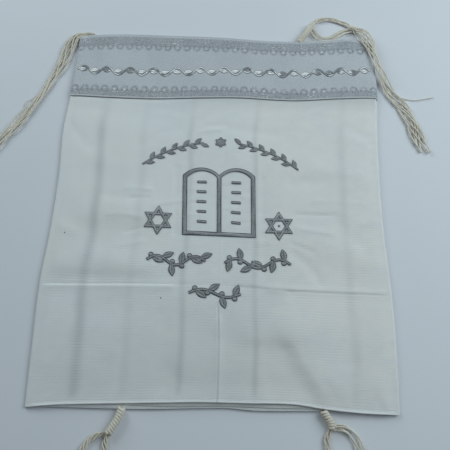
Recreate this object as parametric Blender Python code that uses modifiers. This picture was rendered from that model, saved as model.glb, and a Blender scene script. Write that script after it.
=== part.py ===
"""A child's tallit (prayer shawl), letter-folded and lying flat, in metres with +Z up.

One cut of cotton is folded in three: the front third shows, and the two flaps lie behind it.
A woven neck band (atarah) runs along the neck edge and round both side folds. The origin is
on the underside, in the middle of the folded cloth, and +Y points to the neck edge.
"""

import math
from bisect import bisect_right
from collections import namedtuple

import bmesh
import bpy
import numpy as np
from mathutils import Vector

# Driving sizes
WIDTH = 0.3615  # across the two side folds
HEIGHT = 0.4450  # from the hem to the neck edge
CLOTH_WALL = 0.0012
HIDDEN_LAYERS = 0.0032  # the two flaps, one on the other
BAND_DEPTH = 0.0860
BAND_WALL = 0.0010
STITCH_HEIGHT = 0.0008  # how far the satin stitch stands up
GAP = 0.0003  # between neighbouring pieces

# The front cloth
FOLD_STEPS = 5  # facets round each side fold
TUCK = 0.0040  # how far the cloth runs on under the packet past its side fold
HEM_DEPTH = 0.0045
HEM_RISE = 0.0004
NECK_RISE = 0.0010  # the packet is thicker where it holds three layers of band
RAMP = 0.0160  # over which the cloth rises to the band
BAND_MARGIN = 0.0008  # of cloth that shows beyond the band at the neck edge
OUTLINE_REACH = 0.0550  # how far inwards the outline's waves carry
SIDE_FADE = 0.0150  # creases die away this close to a side fold
LIFT_REACH = 0.0200  # how far inwards the lifted hem carries

HEM_Y = -HEIGHT / 2
NECK_Y = HEIGHT / 2
BAND_FOOT_Y = NECK_Y - BAND_DEPTH
RAMP_Y = BAND_FOOT_Y - 0.0065 - RAMP
CLOTH_TOP = HIDDEN_LAYERS + GAP + CLOTH_WALL

# The outline's waves: outward from the straight edge, along a share of the width or height
Wave = namedtuple("Wave", "share out")
HEM_WAVES = (
    Wave(0.00, 0.0018), Wave(0.06, -0.0005), Wave(0.22, -0.0036), Wave(0.34, -0.0054),
    Wave(0.47, -0.0073), Wave(0.60, -0.0076), Wave(0.73, -0.0076), Wave(0.81, -0.0040),
    Wave(0.93, -0.0014), Wave(1.00, -0.0012),
)
NECK_WAVES = (
    Wave(0.00, -0.0012), Wave(0.07, 0.0010), Wave(0.33, 0.0022), Wave(0.50, 0.0008),
    Wave(0.65, -0.0024), Wave(0.76, -0.0017), Wave(0.90, 0.0034), Wave(1.00, 0.0004),
)
LEFT_WAVES = (
    Wave(0.00, -0.0006), Wave(0.14, 0.0014), Wave(0.27, 0.0034), Wave(0.42, 0.0006),
    Wave(0.55, 0.0002), Wave(0.74, 0.0030), Wave(0.80, 0.0004), Wave(1.00, -0.0016),
)
RIGHT_WAVES = (
    Wave(0.00, -0.0006), Wave(0.17, 0.0012), Wave(0.29, 0.0006), Wave(0.42, -0.0022),
    Wave(0.68, -0.0016), Wave(0.81, 0.0010), Wave(0.86, 0.0012), Wave(1.00, -0.0006),
)
BAND_FOOT_WAVES = (
    Wave(0.00, -0.0010), Wave(0.26, -0.0035), Wave(0.44, -0.0005), Wave(0.52, 0.0005),
    Wave(0.75, -0.0008), Wave(0.87, 0.0030), Wave(1.00, 0.0062),
)
LOW_FLAP_HEM = (
    Wave(0.00, 0.0008), Wave(0.10, 0.0006), Wave(0.34, -0.0002), Wave(0.47, -0.0024),
    Wave(0.54, -0.0032), Wave(0.60, -0.0018), Wave(0.76, -0.0026), Wave(0.90, -0.0030),
    Wave(1.00, -0.0030),
)
HIGH_FLAP_HEM = (
    Wave(0.00, -0.0060), Wave(0.12, -0.0050), Wave(0.34, -0.0030), Wave(0.54, -0.0050),
    Wave(0.66, -0.0044), Wave(0.80, -0.0052), Wave(1.00, -0.0040),
)
HEM_LIFTS = (
    Wave(0.00, 0.0000), Wave(0.16, 0.0002), Wave(0.30, 0.0009), Wave(0.44, 0.0019),
    Wave(0.53, 0.0011), Wave(0.62, 0.0016), Wave(0.78, 0.0006), Wave(1.00, 0.0000),
)

# Creases and swells of the front cloth: a line, how high it stands and how wide it spreads
Crease = namedtuple("Crease", "x0 y0 x1 y1 height spread")
CREASES = (
    Crease(-0.1800, -0.0995, -0.0480, -0.0965, 0.0010, 0.0050),
    Crease(0.0560, -0.0990, 0.1800, -0.1022, 0.0008, 0.0045),
    Crease(0.0045, -0.1350, 0.0066, -0.2200, 0.0008, 0.0045),
    Crease(0.0550, -0.1480, 0.1040, -0.2000, 0.0011, 0.0130),
    Crease(-0.1450, -0.1500, -0.0500, -0.1420, 0.0008, 0.0200),
    Crease(-0.1400, -0.0640, -0.1100, -0.0700, 0.0010, 0.0130),
    Crease(0.1100, -0.0500, 0.1500, -0.0640, 0.0009, 0.0150),
    Crease(-0.1450, 0.0520, -0.1150, 0.0480, 0.0009, 0.0140),
    Crease(0.1150, 0.0400, 0.1500, 0.0320, 0.0008, 0.0150),
)

# Stops across the width and along the height, with the number of equal steps to the next
Stop = namedtuple("Stop", "at steps")
ACROSS = (Stop(0.0, 9), Stop(0.4970, 1), Stop(0.5145, 1), Stop(0.5320, 9), Stop(1.0, 0))
UP_THE_PANEL = (
    Stop(HEM_Y, 1), Stop(HEM_Y + HEM_DEPTH, 1), Stop(HEM_Y + HEM_DEPTH + 0.0010, 1),
    Stop(-0.2060, 4), Stop(-0.1180, 2), Stop(-0.1040, 3), Stop(-0.0920, 1),
    Stop(-0.0840, 7), Stop(RAMP_Y, 2), Stop(RAMP_Y + RAMP, 1), Stop(BAND_FOOT_Y, 3),
    Stop(NECK_Y, 0),
)
UP_THE_FLAPS = (
    Stop(HEM_Y + 0.0095, 1), Stop(-0.2060, 4), Stop(-0.1180, 2), Stop(-0.0840, 7),
    Stop(RAMP_Y, 2), Stop(RAMP_Y + RAMP, 1), Stop(BAND_FOOT_Y, 3), Stop(NECK_Y - 0.0075, 0),
)
BAND_SHARES = (0.0, 0.33, 0.66, 1.0)

# The lowest flap's free edge shows underneath as a narrow groove
FREE_EDGE_SHARE = 0.8850
FREE_EDGE_DEPTH = 0.0009
FREE_EDGE_WIDTH = 0.0020
LAYER_GROOVE = 0.0040  # how deep the parting between the flaps' edges runs

# The embroidered tablets and stars
TABLETS_LEFT, TABLETS_RIGHT = -0.0418, 0.0398
TABLETS_FOOT, TABLETS_SHOULDER = -0.0420, 0.0318
ARCH_RISE = 0.0097
TABLETS_BAR = 0.0043
ARCH_STEPS = 8
STAR_RADIUS = 0.0170
STAR_BAR = 0.0022
STARS = {"star_left": (-0.0658, -0.0245), "star_right": (0.0650, -0.0276)}

# The embroidered sprigs: leafy stems on an arc over the tablets and in waves below them
ARC_CENTRE, ARC_RADIUS = (-0.0019, -0.0600), 0.1352
LEAF_STEPS = 5
Arc = namedtuple("Arc", "start end")  # in degrees round the arc's centre
Wavy = namedtuple("Wavy", "x0 x1 y height waves")
Sprig = namedtuple("Sprig", "line stem leaves leaf berry")
SPRAY_LEAF = (0.0108, 0.0044, 34)  # length, width, degrees from the stem
VINE_LEAF = (0.0135, 0.0062, 52)
SPRIGS = {
    "spray_left": Sprig(Arc(129.5, 98.0), 0.0016, 11, SPRAY_LEAF, 0.0),
    "spray_right": Sprig(Arc(49.0, 81.0), 0.0016, 11, SPRAY_LEAF, 0.0),
    "vine_left": Sprig(Wavy(-0.0740, -0.0130, -0.0705, 0.0050, 1.5), 0.0024, 6, VINE_LEAF, 0.0024),
    "vine_right": Sprig(Wavy(0.0770, 0.0080, -0.0715, 0.0050, 1.5), 0.0024, 6, VINE_LEAF, 0.0024),
    "vine_low": Sprig(Wavy(-0.0280, 0.0250, -0.1055, 0.0040, 1.0), 0.0024, 4, VINE_LEAF, 0.0024),
}
ROSETTE = (-0.0010, 0.0752)
PETALS, PETAL_LENGTH, PETAL_WIDTH = 6, 0.0068, 0.0042
ROUND_STEPS = 10

# The tassels
YARN = 0.0015  # one strand
STRANDS_A_ROW = 4
ROWS = 2
STRAND_PITCH = 0.0021
ROW_PITCH = 0.0020
GATHERED = 0.30  # of these pitches, inside the knot
LOWEST = 0.0004  # above the ground
STRAND_STEPS = 15
BRANCH = 0.0034  # four strands that run together
STEM = 0.0062
STEM_SIZES = (0.70, 1.0, 0.92, 1.0, 0.92, 1.0, 0.92, 1.12, 0.80)  # its windings' swells
KNOT = 0.0076
KNOT_SIZES = (0.72, 1.0, 0.9, 1.0, 0.72)

Point = namedtuple("Point", "x y z")  # z is the underside's height
Tassel = namedtuple("Tassel", "stem branches knot tail spread wave")
FLAT = LOWEST
OVER = 0.0078  # above the band
TASSELS = {
    "tzitzit_top_left": Tassel(
        stem=(Point(-0.1580, 0.2272, FLAT), Point(-0.1640, 0.2277, FLAT),
              Point(-0.1730, 0.2278, FLAT)),
        branches=(),
        knot=(Point(-0.1705, 0.2278, FLAT), Point(-0.1770, 0.2272, FLAT)),
        tail=(Point(-0.1750, 0.2276, FLAT), Point(-0.1856, 0.2232, FLAT),
              Point(-0.1914, 0.2090, FLAT), Point(-0.1968, 0.1870, FLAT),
              Point(-0.2085, 0.1570, FLAT), Point(-0.2200, 0.1300, FLAT),
              Point(-0.2345, 0.1030, FLAT), Point(-0.2520, 0.0756, FLAT),
              Point(-0.2710, 0.0490, FLAT), Point(-0.2860, 0.0230, FLAT),
              Point(-0.2960, -0.0080, FLAT)),
        spread=0.45,
        wave=0.0012,
    ),
    "tzitzit_top_right": Tassel(
        stem=(Point(0.0912, 0.2217, FLAT), Point(0.0955, 0.2300, FLAT),
              Point(0.1014, 0.2390, FLAT), Point(0.1080, 0.2510, FLAT)),
        branches=(
            (Point(0.1065, 0.2490, FLAT), Point(0.1132, 0.2584, FLAT),
             Point(0.1247, 0.2625, FLAT), Point(0.1373, 0.2610, FLAT),
             Point(0.1495, 0.2555, FLAT), Point(0.1605, 0.2475, FLAT)),
            (Point(0.1065, 0.2490, FLAT), Point(0.1110, 0.2385, FLAT),
             Point(0.1185, 0.2305, FLAT), Point(0.1290, 0.2305, FLAT),
             Point(0.1390, 0.2375, FLAT), Point(0.1495, 0.2435, FLAT),
             Point(0.1605, 0.2465, FLAT)),
        ),
        knot=(Point(0.1570, 0.2480, FLAT), Point(0.1640, 0.2440, 0.0020)),
        tail=(Point(0.1615, 0.2455, 0.0010), Point(0.1680, 0.2410, 0.0040),
              Point(0.1725, 0.2330, OVER), Point(0.1760, 0.2230, OVER),
              Point(0.1797, 0.2100, OVER), Point(0.1830, 0.1970, OVER),
              Point(0.1875, 0.1800, OVER), Point(0.1925, 0.1640, 0.0040),
              Point(0.1965, 0.1510, FLAT), Point(0.2020, 0.1385, FLAT),
              Point(0.2080, 0.1265, FLAT), Point(0.2145, 0.1120, FLAT),
              Point(0.2215, 0.0950, FLAT), Point(0.2275, 0.0790, FLAT),
              Point(0.2340, 0.0620, FLAT)),
        spread=0.75,
        wave=0.0006,
    ),
    "tzitzit_bottom_left": Tassel(
        stem=(Point(-0.0864, -0.2233, FLAT), Point(-0.0886, -0.2310, FLAT),
              Point(-0.0925, -0.2385, FLAT), Point(-0.0974, -0.2466, FLAT)),
        branches=(
            (Point(-0.0965, -0.2450, FLAT), Point(-0.1070, -0.2480, FLAT),
             Point(-0.1145, -0.2525, FLAT), Point(-0.1210, -0.2620, FLAT),
             Point(-0.1225, -0.2740, FLAT), Point(-0.1160, -0.2860, FLAT)),
            (Point(-0.0965, -0.2450, FLAT), Point(-0.0990, -0.2530, FLAT),
             Point(-0.0994, -0.2620, FLAT), Point(-0.1025, -0.2740, FLAT),
             Point(-0.1105, -0.2860, FLAT)),
        ),
        knot=(Point(-0.1110, -0.2840, FLAT), Point(-0.1155, -0.2910, FLAT)),
        tail=(Point(-0.1135, -0.2880, FLAT), Point(-0.1200, -0.3000, FLAT),
              Point(-0.1275, -0.3220, FLAT), Point(-0.1320, -0.3500, FLAT),
              Point(-0.1290, -0.3800, FLAT), Point(-0.1240, -0.4080, FLAT),
              Point(-0.1270, -0.4380, FLAT)),
        spread=0.70,
        wave=0.0012,
    ),
    "tzitzit_bottom_right": Tassel(
        stem=(Point(0.1068, -0.2204, FLAT), Point(0.1105, -0.2260, FLAT),
              Point(0.1137, -0.2310, FLAT), Point(0.1152, -0.2360, FLAT)),
        branches=(
            (Point(0.1146, -0.2345, FLAT), Point(0.1100, -0.2430, FLAT),
             Point(0.1098, -0.2546, FLAT), Point(0.1135, -0.2660, FLAT),
             Point(0.1215, -0.2770, FLAT)),
            (Point(0.1146, -0.2345, FLAT), Point(0.1240, -0.2345, FLAT),
             Point(0.1323, -0.2385, FLAT), Point(0.1385, -0.2480, FLAT),
             Point(0.1410, -0.2590, FLAT), Point(0.1360, -0.2700, FLAT),
             Point(0.1265, -0.2775, FLAT)),
        ),
        knot=(Point(0.1215, -0.2755, FLAT), Point(0.1260, -0.2830, FLAT)),
        tail=(Point(0.1240, -0.2795, FLAT), Point(0.1300, -0.2930, FLAT),
              Point(0.1365, -0.3170, FLAT), Point(0.1380, -0.3460, FLAT),
              Point(0.1340, -0.3760, FLAT), Point(0.1330, -0.4060, FLAT),
              Point(0.1385, -0.4340, FLAT)),
        spread=0.70,
        wave=0.0012,
    ),
}

# Base colour and roughness of each piece
Finish = namedtuple("Finish", "colour roughness")
COTTON = Finish((0.80, 0.82, 0.84), 0.85)
BAND_WEAVE = Finish((0.52, 0.54, 0.58), 0.50)
SILVER_THREAD = Finish((0.17, 0.17, 0.19), 0.42)
WOOL = Finish((0.62, 0.52, 0.38), 0.90)


# Curves through tables


def read(table, share):
    """The second column at this share, on a smooth curve through the rows."""
    at = [row[0] for row in table]
    values = [row[1] for row in table]
    if share <= at[0]:
        return values[0]
    if share >= at[-1]:
        return values[-1]
    slopes = np.gradient(values, at)
    k = bisect_right(at, share) - 1
    span = at[k + 1] - at[k]
    t = (share - at[k]) / span
    start = (1 + 2 * t) * (1 - t) ** 2 * values[k] + t * (1 - t) ** 2 * span * slopes[k]
    end = t * t * (3 - 2 * t) * values[k + 1] + t * t * (t - 1) * span * slopes[k + 1]
    return float(start + end)


def ease(t):
    """A smooth step from 0 to 1."""
    t = min(1.0, max(0.0, t))
    return t * t * (3 - 2 * t)


def spaced(stops):
    """The values from the first stop to the last, evenly spaced between neighbours."""
    values = [stops[0].at]
    for here, following in zip(stops, stops[1:]):
        step = (following.at - here.at) / here.steps
        values += [here.at + step * (k + 1) for k in range(here.steps)]
    return values


def smooth_path(points, steps):
    """Points evenly spaced along a Catmull-Rom curve through these."""
    knots = [Vector(p) for p in points]
    knots = [2 * knots[0] - knots[1], *knots, 2 * knots[-1] - knots[-2]]
    fine = []
    for a, b, c, d in zip(knots, knots[1:], knots[2:], knots[3:]):
        for k in range(12):
            t = k / 12
            fine.append(0.5 * (2 * b + (c - a) * t + (2 * a - 5 * b + 4 * c - d) * t * t
                               + (3 * b - a - 3 * c + d) * t ** 3))
    fine.append(knots[-2])
    lengths = np.cumsum([0.0] + [(q - p).length for p, q in zip(fine, fine[1:])])
    wanted = np.linspace(0, lengths[-1], steps + 1)
    return [Vector([float(np.interp(w, lengths, [p[k] for p in fine])) for k in range(3)])
            for w in wanted]


# The cloth's surfaces


def cloth_top(y):
    """The height of the front cloth's outer face, without its creases."""
    return CLOTH_TOP + NECK_RISE * ease((y - RAMP_Y) / RAMP)


def cloth_base(y):
    """The height of the front cloth's turned-under lip, which the band passes beneath."""
    return (GAP + BAND_WALL) * ease((y - RAMP_Y - RAMP / 2) / (RAMP / 2))


def outline_y(share, y):
    """Moves a straight row to follow the hem's and the neck edge's waves."""
    near_hem = max(0.0, 1 - (y - HEM_Y) / OUTLINE_REACH)
    near_neck = max(0.0, 1 - (NECK_Y - y) / OUTLINE_REACH)
    return y - near_hem * read(HEM_WAVES, share) + near_neck * read(NECK_WAVES, share)


def sides_at(y):
    """The x of the left and right side folds."""
    share = (y - HEM_Y) / HEIGHT
    return -WIDTH / 2 - read(LEFT_WAVES, share), WIDTH / 2 + read(RIGHT_WAVES, share)


def relief(x, y):
    """How far the creases and the lifted hem raise the front cloth here."""
    point, raised = Vector((x, y)), 0.0
    for crease in CREASES:
        start, end = Vector((crease.x0, crease.y0)), Vector((crease.x1, crease.y1))
        along = (point - start).dot(end - start) / (end - start).length_squared
        nearest = start.lerp(end, min(1.0, max(0.0, along)))
        raised += crease.height * math.exp(-(((point - nearest).length / crease.spread) ** 2))
    left, right = sides_at(y)
    inset = min(x - left, right - x)
    share = (x - left) / (right - left)
    hem = outline_y(share, HEM_Y)
    raised += read(HEM_LIFTS, share) * (1 - ease((y - hem) / LIFT_REACH))
    raised += HEM_RISE * (y < hem + HEM_DEPTH + GAP)
    return raised * ease(inset / SIDE_FADE)


# A column runs from hem to neck: its share of the width, its turn round a side fold in
# radians (0 on the front, pi underneath) and how far in under the packet it lies
Column = namedtuple("Column", "share turn tuck")


def columns():
    turns = [math.pi * (k + 1) / FOLD_STEPS for k in range(FOLD_STEPS)]
    left = [Column(0.0, math.pi, TUCK)] + [Column(0.0, turn, 0.0) for turn in reversed(turns)]
    right = [Column(1.0, turn, 0.0) for turn in turns] + [Column(1.0, math.pi, TUCK)]
    return left + [Column(share, 0.0, 0.0) for share in spaced(ACROSS)] + right


def flat_edges(y):
    """The x where the front's flat stretch meets each side fold, and the fold's radius."""
    left, right = sides_at(y)
    radius = (cloth_top(y) - cloth_base(y)) / 2
    return left + radius, right - radius, radius


def surface(column, y, out=0.0):
    """A point of the front cloth's outer face, or this far outside it."""
    left, right, radius = flat_edges(y)
    x = left + (right - left) * column.share
    if column.turn == 0.0:
        return Vector((x, y, cloth_top(y) + relief(x, y) + out))
    side = 1.0 if column.share > 0.5 else -1.0
    x += side * ((radius + out) * math.sin(column.turn) - column.tuck)
    return Vector((x, y, cloth_base(y) + radius + (radius + out) * math.cos(column.turn)))


# Making objects


def material(name, finish):
    made = bpy.data.materials.new(name)
    made.use_nodes = True
    shader = made.node_tree.nodes["Principled BSDF"]
    shader.inputs["Base Color"].default_value = (*finish.colour, 1.0)
    shader.inputs["Roughness"].default_value = finish.roughness
    shader.inputs["Metallic"].default_value = 0.0
    return made


def finished(piece, finish, root):
    """Gives a piece its material and its parent."""
    piece.data.materials.append(material(piece.name, finish))
    piece.parent = root
    return piece


def added(name, mesh, collection):
    piece = bpy.data.objects.new(name, mesh)
    collection.objects.link(piece)
    return piece


def shell(name, rows, wall, finish, parts, root):
    """A wall of cloth: a grid with its points moved to these rows, thickened inwards."""
    across, along = len(rows[0]) - 1, len(rows) - 1
    mesh = bpy.data.meshes.new(name)
    grid = bmesh.new()
    bmesh.ops.create_grid(grid, x_segments=across, y_segments=along, size=0.5)
    for vertex in grid.verts:
        i = round((vertex.co.x + 0.5) * across)
        j = round((vertex.co.y + 0.5) * along)
        vertex.co = rows[j][i]
    grid.to_mesh(mesh)
    grid.free()
    mesh.shade_smooth()
    piece = finished(added(name, mesh, parts), finish, root)
    solid = piece.modifiers.new("Wall", "SOLIDIFY")
    solid.thickness = wall
    solid.offset = -1.0
    solid.use_even_offset = True
    return piece


def loft(name, rings, finish, parts, root):
    """One closed body through rings with the same number of points."""
    body = bmesh.new()
    loops = [[body.verts.new(point) for point in ring] for ring in rings]
    for one, following in zip(loops, loops[1:]):
        for k in range(len(one)):
            n = (k + 1) % len(one)
            body.faces.new((one[k], one[n], following[n], following[k]))
    body.faces.new(reversed(loops[0]))
    body.faces.new(loops[-1])
    bmesh.ops.triangulate(body, faces=body.faces[:])
    bmesh.ops.recalc_face_normals(body, faces=body.faces[:])
    mesh = bpy.data.meshes.new(name)
    body.to_mesh(mesh)
    body.free()
    return finished(added(name, mesh, parts), finish, root)


def stitched(name, outlines, collection):
    """A flat piece of raised stitching, from an outline and its holes, on the front cloth."""
    curve = bpy.data.curves.new(name, "CURVE")
    curve.dimensions = "2D"
    curve.fill_mode = "BOTH"
    curve.extrude = STITCH_HEIGHT / 2
    for outline in outlines:
        spline = curve.splines.new("POLY")
        spline.points.add(len(outline) - 1)
        for point, (x, y) in zip(spline.points, outline):
            point.co = (x, y, 0.0, 1.0)
        spline.use_cyclic_u = True
    piece = added(name, curve, collection)
    piece.location.z = CLOTH_TOP + GAP + STITCH_HEIGHT / 2
    return piece


def meshed(guide, collection):
    """A curve object's closed mesh, as a helper that isn't rendered."""
    graph = bpy.context.evaluated_depsgraph_get()
    mesh = bpy.data.meshes.new_from_object(guide.evaluated_get(graph))
    name, place = guide.name, guide.matrix_world.copy()
    bpy.data.objects.remove(guide)
    weld = bmesh.new()
    weld.from_mesh(mesh)
    bmesh.ops.remove_doubles(weld, verts=weld.verts[:], dist=1e-5)
    bmesh.ops.recalc_face_normals(weld, faces=weld.faces[:])
    weld.to_mesh(mesh)
    weld.free()
    made = added(name, mesh, collection)
    made.matrix_world = place
    made.hide_render = True
    made.display_type = "WIRE"
    return made


def joined(base, others, parts):
    """The base as a rendered piece, in one body with a collection of helpers."""
    for holder in list(base.users_collection):
        holder.objects.unlink(base)
    parts.objects.link(base)
    base.hide_render = False
    base.display_type = "TEXTURED"
    join = base.modifiers.new("Join", "BOOLEAN")
    join.operation = "UNION"
    join.operand_type = "COLLECTION"
    join.collection = others
    return base


def helpers(name, tools):
    collection = bpy.data.collections.new(name + "_helpers")
    tools.children.link(collection)
    return collection


def tube(name, path, thickness, sides_level, collection, sizes=None):
    """A closed mesh tube along this path, thickened at each point by its size."""
    curve = bpy.data.curves.new(name, "CURVE")
    curve.dimensions = "3D"
    curve.twist_mode = "Z_UP"
    curve.bevel_depth = thickness / 2
    curve.bevel_resolution = sides_level
    curve.use_fill_caps = True
    spline = curve.splines.new("POLY")
    spline.points.add(len(path) - 1)
    for k, (point, place) in enumerate(zip(spline.points, path)):
        point.co = (*place, 1.0)
        point.radius = sizes[k] if sizes else 1.0
    return meshed(added(name, curve, collection), collection)


# The pieces


def add_front_panel(parts, root):
    rows = [[surface(c, outline_y(c.share, y)) for c in columns()]
            for y in spaced(UP_THE_PANEL)]
    return shell("front_panel", rows, CLOTH_WALL, COTTON, parts, root)


def add_band(parts, root):
    rows = []
    for step in BAND_SHARES:
        row = []
        for column in columns():
            foot = BAND_FOOT_Y + read(BAND_FOOT_WAVES, column.share)
            neck = outline_y(column.share, NECK_Y) - BAND_MARGIN
            row.append(surface(column, foot + (neck - foot) * step, GAP + BAND_WALL))
        rows.append(row)
    return shell("atarah_band", rows, BAND_WALL, BAND_WEAVE, parts, root)


# A flap station: its share of the width, how far inwards it then lies, how much of its height
# it keeps, whether it lies over the front cloth's lip, and how far its underside is raised
Station = namedtuple("Station", "share inset keep over_lip raised")


def flap_stations():
    nose = (0.0008, 0.35), (0.0004, 0.80), (0.0, 1.0)
    ends = [Station(0.0, -out, keep, True, 0.0) for out, keep in nose]
    ends += [Station(0.0, TUCK + GAP, 1.0, True, 0.0),
             Station(0.0, TUCK + 2 * GAP, 1.0, False, 0.0)]
    mirrored = [Station(1.0, s.inset, *s[2:]) for s in reversed(ends)]
    half = FREE_EDGE_WIDTH / 2 / WIDTH
    shares = [share for share in spaced(ACROSS)[1:-1] if abs(share - FREE_EDGE_SHARE) > 4 * half]
    middle = [Station(share, 0.0, 1.0, False, 0.0) for share in shares]
    middle += [Station(FREE_EDGE_SHARE - half, 0.0, 1.0, False, 0.0),
               Station(FREE_EDGE_SHARE, 0.0, 1.0, False, FREE_EDGE_DEPTH),
               Station(FREE_EDGE_SHARE + half, 0.0, 1.0, False, 0.0)]
    return ends + sorted(middle) + mirrored


def flap_edge(low, high, inwards):
    """One edge's (y, share of the height) from the underside up: two round noses, parted."""
    soft = 0.0006
    return [(low + inwards * soft, 0.0), (low, 0.12), (low, 0.36),
            (low + inwards * soft, 0.46), (low + inwards * LAYER_GROOVE, 0.50),
            (high + inwards * soft, 0.54), (high, 0.64), (high, 0.88),
            (high + inwards * soft, 1.0)]


def flap_ring(station):
    hem_low = HEM_Y - read(LOW_FLAP_HEM, station.share)
    hem_high = HEM_Y - read(HIGH_FLAP_HEM, station.share)
    neck = outline_y(station.share, NECK_Y)
    hem = flap_edge(hem_low, hem_high, 1.0)
    top_edge = flap_edge(neck - 0.0006, neck - 0.0014, -1.0)
    rows = spaced(UP_THE_FLAPS)
    section = [(y, 0.0) for y in rows] + top_edge + [(y, 1.0) for y in reversed(rows)]
    section += reversed(hem)
    ring = []
    for y, up in section:
        left, right, _ = flat_edges(y)
        side = 1.0 if station.share < 0.5 else -1.0
        x = left + (right - left) * station.share + side * station.inset
        bottom = station.raised
        if station.over_lip:
            bottom = cloth_base(y) + CLOTH_WALL + GAP
        top = cloth_top(y) - CLOTH_WALL - GAP
        middle, half = (top + bottom) / 2, (top - bottom) / 2 * station.keep
        ring.append((x, y, middle + half * (2 * up - 1)))
    return ring


def add_flaps(parts, root):
    rings = [flap_ring(station) for station in flap_stations()]
    return loft("folded_flaps", rings, COTTON, parts, root)


def arch(left, right, foot, rise):
    """Points of a round-topped arch from its right shoulder over to its left."""
    half = (right - left) / 2
    radius = (half * half + rise * rise) / (2 * rise)
    sweep = math.asin(half / radius)
    centre = Vector(((left + right) / 2, foot + rise - radius))
    angles = [sweep - 2 * sweep * k / ARCH_STEPS for k in range(ARCH_STEPS + 1)]
    return [(centre.x + radius * math.sin(a), centre.y + radius * math.cos(a)) for a in angles]


def add_tablets(parts, root):
    middle = (TABLETS_LEFT + TABLETS_RIGHT) / 2
    half_bar = TABLETS_BAR / 2
    outer = [(TABLETS_LEFT, TABLETS_FOOT), (TABLETS_RIGHT, TABLETS_FOOT)]
    outer += arch(middle, TABLETS_RIGHT, TABLETS_SHOULDER, ARCH_RISE)
    outer += arch(TABLETS_LEFT, middle, TABLETS_SHOULDER, ARCH_RISE)[1:]
    windows = []
    for left, right in ((TABLETS_LEFT + TABLETS_BAR, middle - half_bar),
                        (middle + half_bar, TABLETS_RIGHT - TABLETS_BAR)):
        foot = TABLETS_FOOT + TABLETS_BAR
        shoulder = TABLETS_SHOULDER - 0.6 * TABLETS_BAR
        windows.append([(left, foot), (right, foot)]
                       + arch(left, right, shoulder, ARCH_RISE - 0.0012))
    return finished(stitched("tablets", [outer, *windows], parts), SILVER_THREAD, root)


def polar(radius, degrees):
    return radius * math.cos(math.radians(degrees)), radius * math.sin(math.radians(degrees))


def star_outlines(centre):
    """A six-pointed star of two woven triangles: its edge, its middle and its six tips."""
    outer, inner = STAR_RADIUS / 2, STAR_RADIUS / 2 - STAR_BAR
    root3 = math.sqrt(3.0)
    edge, middle, tips = [], [], []
    for k in range(6):
        tip = 90 + 60 * k
        edge += [polar(2 * outer, tip), polar(2 * outer / root3, tip + 30)]
        middle.append(polar(2 * inner / root3, tip + 30))
        half_base = (2 * inner - outer) / root3
        base = [polar(math.hypot(outer, half_base), tip + side * math.degrees(
            math.atan2(half_base, outer))) for side in (-1, 1)]
        tips.append([base[0], polar(2 * inner, tip), base[1]])
    return [[(centre[0] + x, centre[1] + y) for x, y in outline]
            for outline in (edge, middle, *tips)]


def add_stars(parts, root):
    return [finished(stitched(name, star_outlines(centre), parts), SILVER_THREAD, root)
            for name, centre in STARS.items()]


def line_point(line, share):
    """A point on a sprig's stem, this share of the way along it."""
    if isinstance(line, Arc):
        x, y = polar(ARC_RADIUS, line.start + (line.end - line.start) * share)
        return Vector((ARC_CENTRE[0] + x, ARC_CENTRE[1] + y))
    swing = line.height * math.sin(2 * math.pi * line.waves * share)
    return Vector((line.x0 + (line.x1 - line.x0) * share, line.y + swing))


def line_angle(line, share):
    """The stem's direction there, in degrees."""
    ahead = line_point(line, share + 0.01) - line_point(line, share - 0.01)
    return math.degrees(math.atan2(ahead.y, ahead.x))


def stem_outline(sprig, steps):
    """The stem as a narrow ribbon."""
    sides = [], []
    for k in range(steps + 1):
        middle = line_point(sprig.line, k / steps)
        for side, points in zip((90, -90), sides):
            turned = polar(sprig.stem / 2, line_angle(sprig.line, k / steps) + side)
            points.append(middle + Vector(turned))
    return sides[0] + sides[1][::-1]


def leaf_outline(base, degrees, length, width):
    """A pointed leaf that grows from its base."""
    near, far = [], []
    for k in range(LEAF_STEPS + 1):
        share = k / LEAF_STEPS
        middle = Vector(base) + Vector(polar(length * share, degrees))
        side = Vector(polar(width / 2 * math.sin(math.pi * share), degrees + 90))
        near.append(middle + side)
        far.append(middle - side)
    return near + far[-2:0:-1]


def round_outline(centre, radius):
    return [Vector(centre) + Vector(polar(radius, 360 * k / ROUND_STEPS))
            for k in range(ROUND_STEPS)]


def sprig_outlines(sprig):
    """Its leaves, by turns on the left and on the right, and its berries."""
    length, width, angle = sprig.leaf
    outlines = []
    for k in range(sprig.leaves):
        share = (k + 0.5) / sprig.leaves
        side = 1 if k % 2 else -1
        base = line_point(sprig.line, share)
        along = line_angle(sprig.line, share)
        outlines.append(leaf_outline(base, along + side * angle, length, width))
        if sprig.berry:
            reach = polar(sprig.stem / 2 + 0.6 * sprig.berry, along - side * 90)
            outlines.append(round_outline(base + Vector(reach), sprig.berry))
    return outlines


def add_joined_stitching(name, base, others, parts, tools, root):
    """Several outlines of stitching in one body."""
    group = helpers(name, tools)
    for k, outline in enumerate(others):
        meshed(stitched(f"{name}_{k}", [outline], group), group)
    body = joined(meshed(stitched(name, [base], group), group), group, parts)
    return finished(body, SILVER_THREAD, root)


def add_sprigs(parts, tools, root):
    for name, sprig in SPRIGS.items():
        stem = stem_outline(sprig, 4 * sprig.leaves)
        add_joined_stitching(name, stem, sprig_outlines(sprig), parts, tools, root)
    petals = [leaf_outline(ROSETTE, 90 + 360 * k / PETALS, PETAL_LENGTH, PETAL_WIDTH)
              for k in range(PETALS)]
    middle = round_outline(ROSETTE, PETAL_WIDTH / 2)
    add_joined_stitching("rosette", middle, petals, parts, tools, root)


def raised_path(points, thickness, steps):
    """A smooth path whose tube of this thickness rests on the points' heights."""
    return smooth_path([(p.x, p.y, p.z + thickness / 2) for p in points], steps)


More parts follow.
